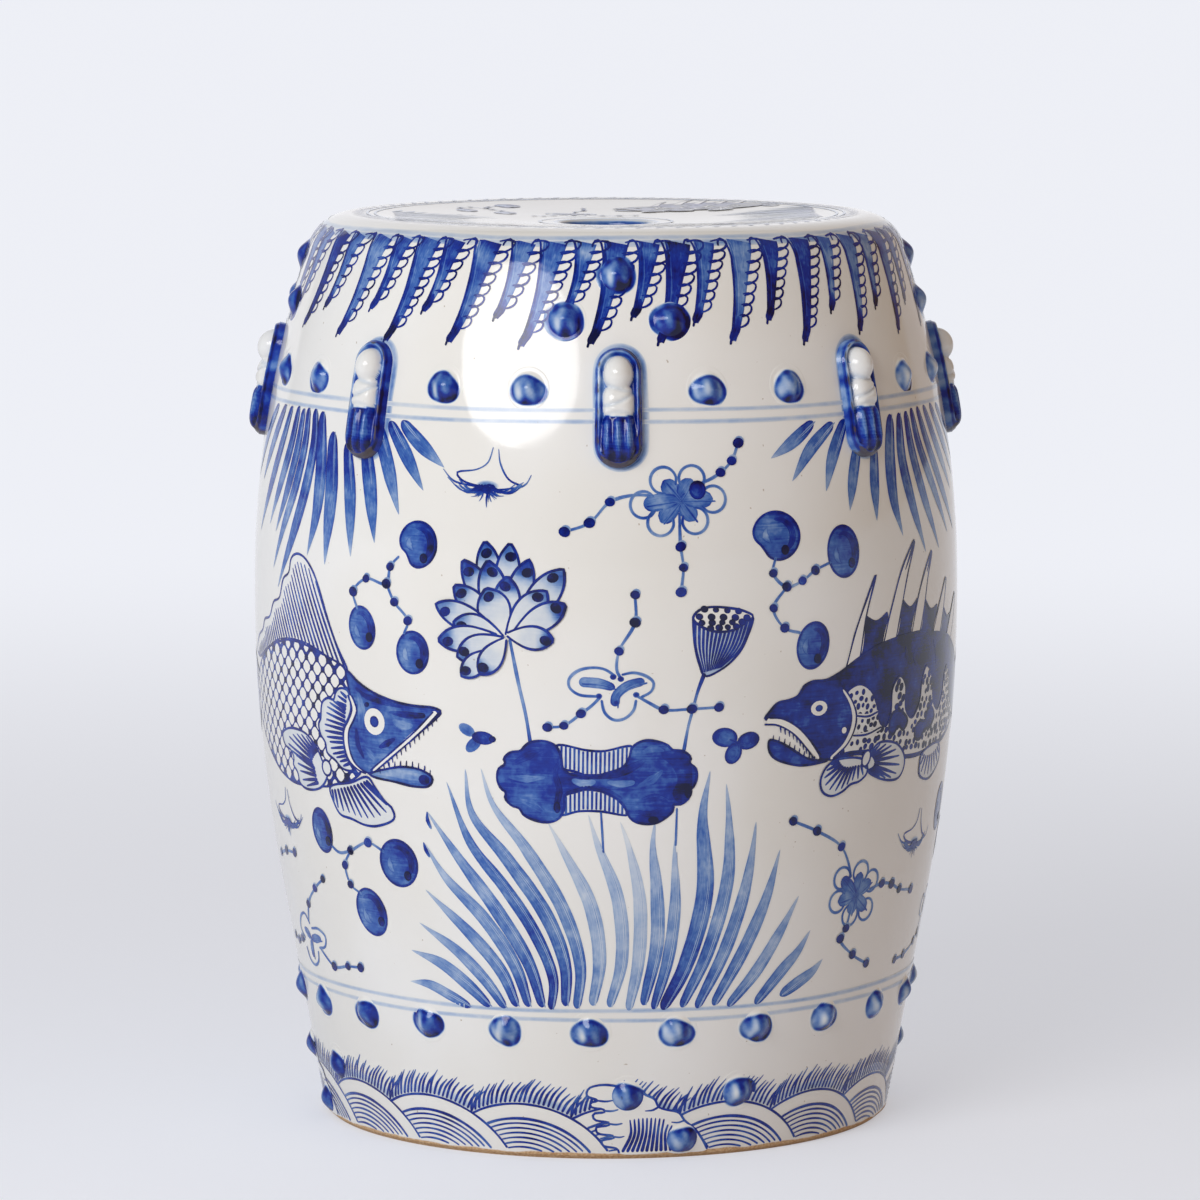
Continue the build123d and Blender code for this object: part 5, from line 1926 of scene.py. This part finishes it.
def make_floor():
    """Studio paper that glows a little to the eye, so that it pales away from the stool."""
    mesh = bpy.data.meshes.new("floor")
    angle = np.radians(np.arange(FLOOR_SIDES) * 360 / FLOOR_SIDES)
    ring = join(np.sin(angle) * FLOOR_RADIUS, np.cos(angle) * FLOOR_RADIUS, np.zeros(FLOOR_SIDES))
    mesh.from_pydata(ring.tolist(), [], [tuple(range(FLOOR_SIDES))[::-1]])
    floor = add_object("floor", mesh)
    nodes = Nodes(bpy.data.materials.new("studio_paper"))
    nodes.put("Base Color", (*BACKGROUND, 1))
    nodes.put("Roughness", 0.9)
    nodes.put("Specular IOR Level", 0.1)
    glow = nodes.make("Emission", None, Color=(*BACKGROUND, 1), Strength=FLOOR_GLOW)
    rays = nodes.make("LightPath").outputs
    mirrored = nodes.math("MAXIMUM", rays["Is Glossy Ray"], rays["Is Transmission Ray"])
    seen = nodes.math("MAXIMUM", rays["Is Camera Ray"], mirrored)
    away = nodes.make("VectorMath", {"operation": "LENGTH"}, _0=nodes.place()).outputs["Value"]
    share = nodes.between(away, GLOW_START, GLOW_END, GLOW_NEAR, GLOW_FAR)
    blend = nodes.make("MixShader", None, Fac=nodes.math("MULTIPLY", seen, share))
    nodes.feed(blend.inputs[1], nodes.shader.outputs[0])
    nodes.feed(blend.inputs[2], glow.outputs[0])
    nodes.feed(nodes.tree.nodes["Material Output"].inputs["Surface"], blend.outputs[0])
    mesh.materials.append(nodes.owner)


ROOM_FRONT, ROOM_TOP = (0.26, 0.26, 0.265), (0.42, 0.42, 0.44)
ROOM_LEFT, ROOM_RIGHT = (0.42, 0.44, 0.48), (0.36, 0.22, 0.10)
PAPER_BACK, PAPER_RIGHT = (1.0, 1.0, 1.04), (0.62, 0.55, 0.53)
PAPER_SKEW = 0.075
KEY_PLACE, KEY_AIM = Vector((-1.07, -1.69, 1.14)), Vector((0, 0, 0.36))
KEY_WIDTH, KEY_HEIGHT, KEY_WATTS = 1.55, 0.80, 26


def make_light():
    """A plain dim room, warm on the right, with white paper behind and one softbox on the left."""
    world = bpy.data.worlds.new("studio")
    bpy.context.scene.world = world
    nodes = Nodes(world, "Background")
    way = nodes.make("SeparateXYZ", None, Vector=nodes.make("TexCoord").outputs["Generated"]).outputs
    colour = nodes.mix(nodes.between(way["X"], -0.85, -0.2, 1.0, 0.0), ROOM_FRONT, ROOM_LEFT)
    colour = nodes.mix(nodes.between(way["X"], 0.0, 0.45), colour, ROOM_RIGHT)
    paper = nodes.mix(nodes.between(way["X"], 0.15, 0.45), PAPER_BACK, PAPER_RIGHT)
    behind = nodes.math("ADD", way["Y"], nodes.math("MULTIPLY", way["X"], PAPER_SKEW))
    colour = nodes.mix(nodes.between(behind, 0.72, 0.77), colour, paper)
    colour = nodes.mix(nodes.between(way["Z"], 0.5, 0.9), colour, ROOM_TOP)
    nodes.put("Color", colour)
    key = bpy.data.lights.new("key", "AREA")
    key.shape = "ELLIPSE"
    key.size, key.size_y = KEY_WIDTH, KEY_HEIGHT
    key.energy = KEY_WATTS
    light = add_object("key", key)
    light.location = KEY_PLACE
    light.rotation_euler = (KEY_AIM - KEY_PLACE).to_track_quat("-Z", "Y").to_euler()
    bpy.context.scene.view_settings.view_transform = "Standard"


make_camera()
make_floor()
make_light()
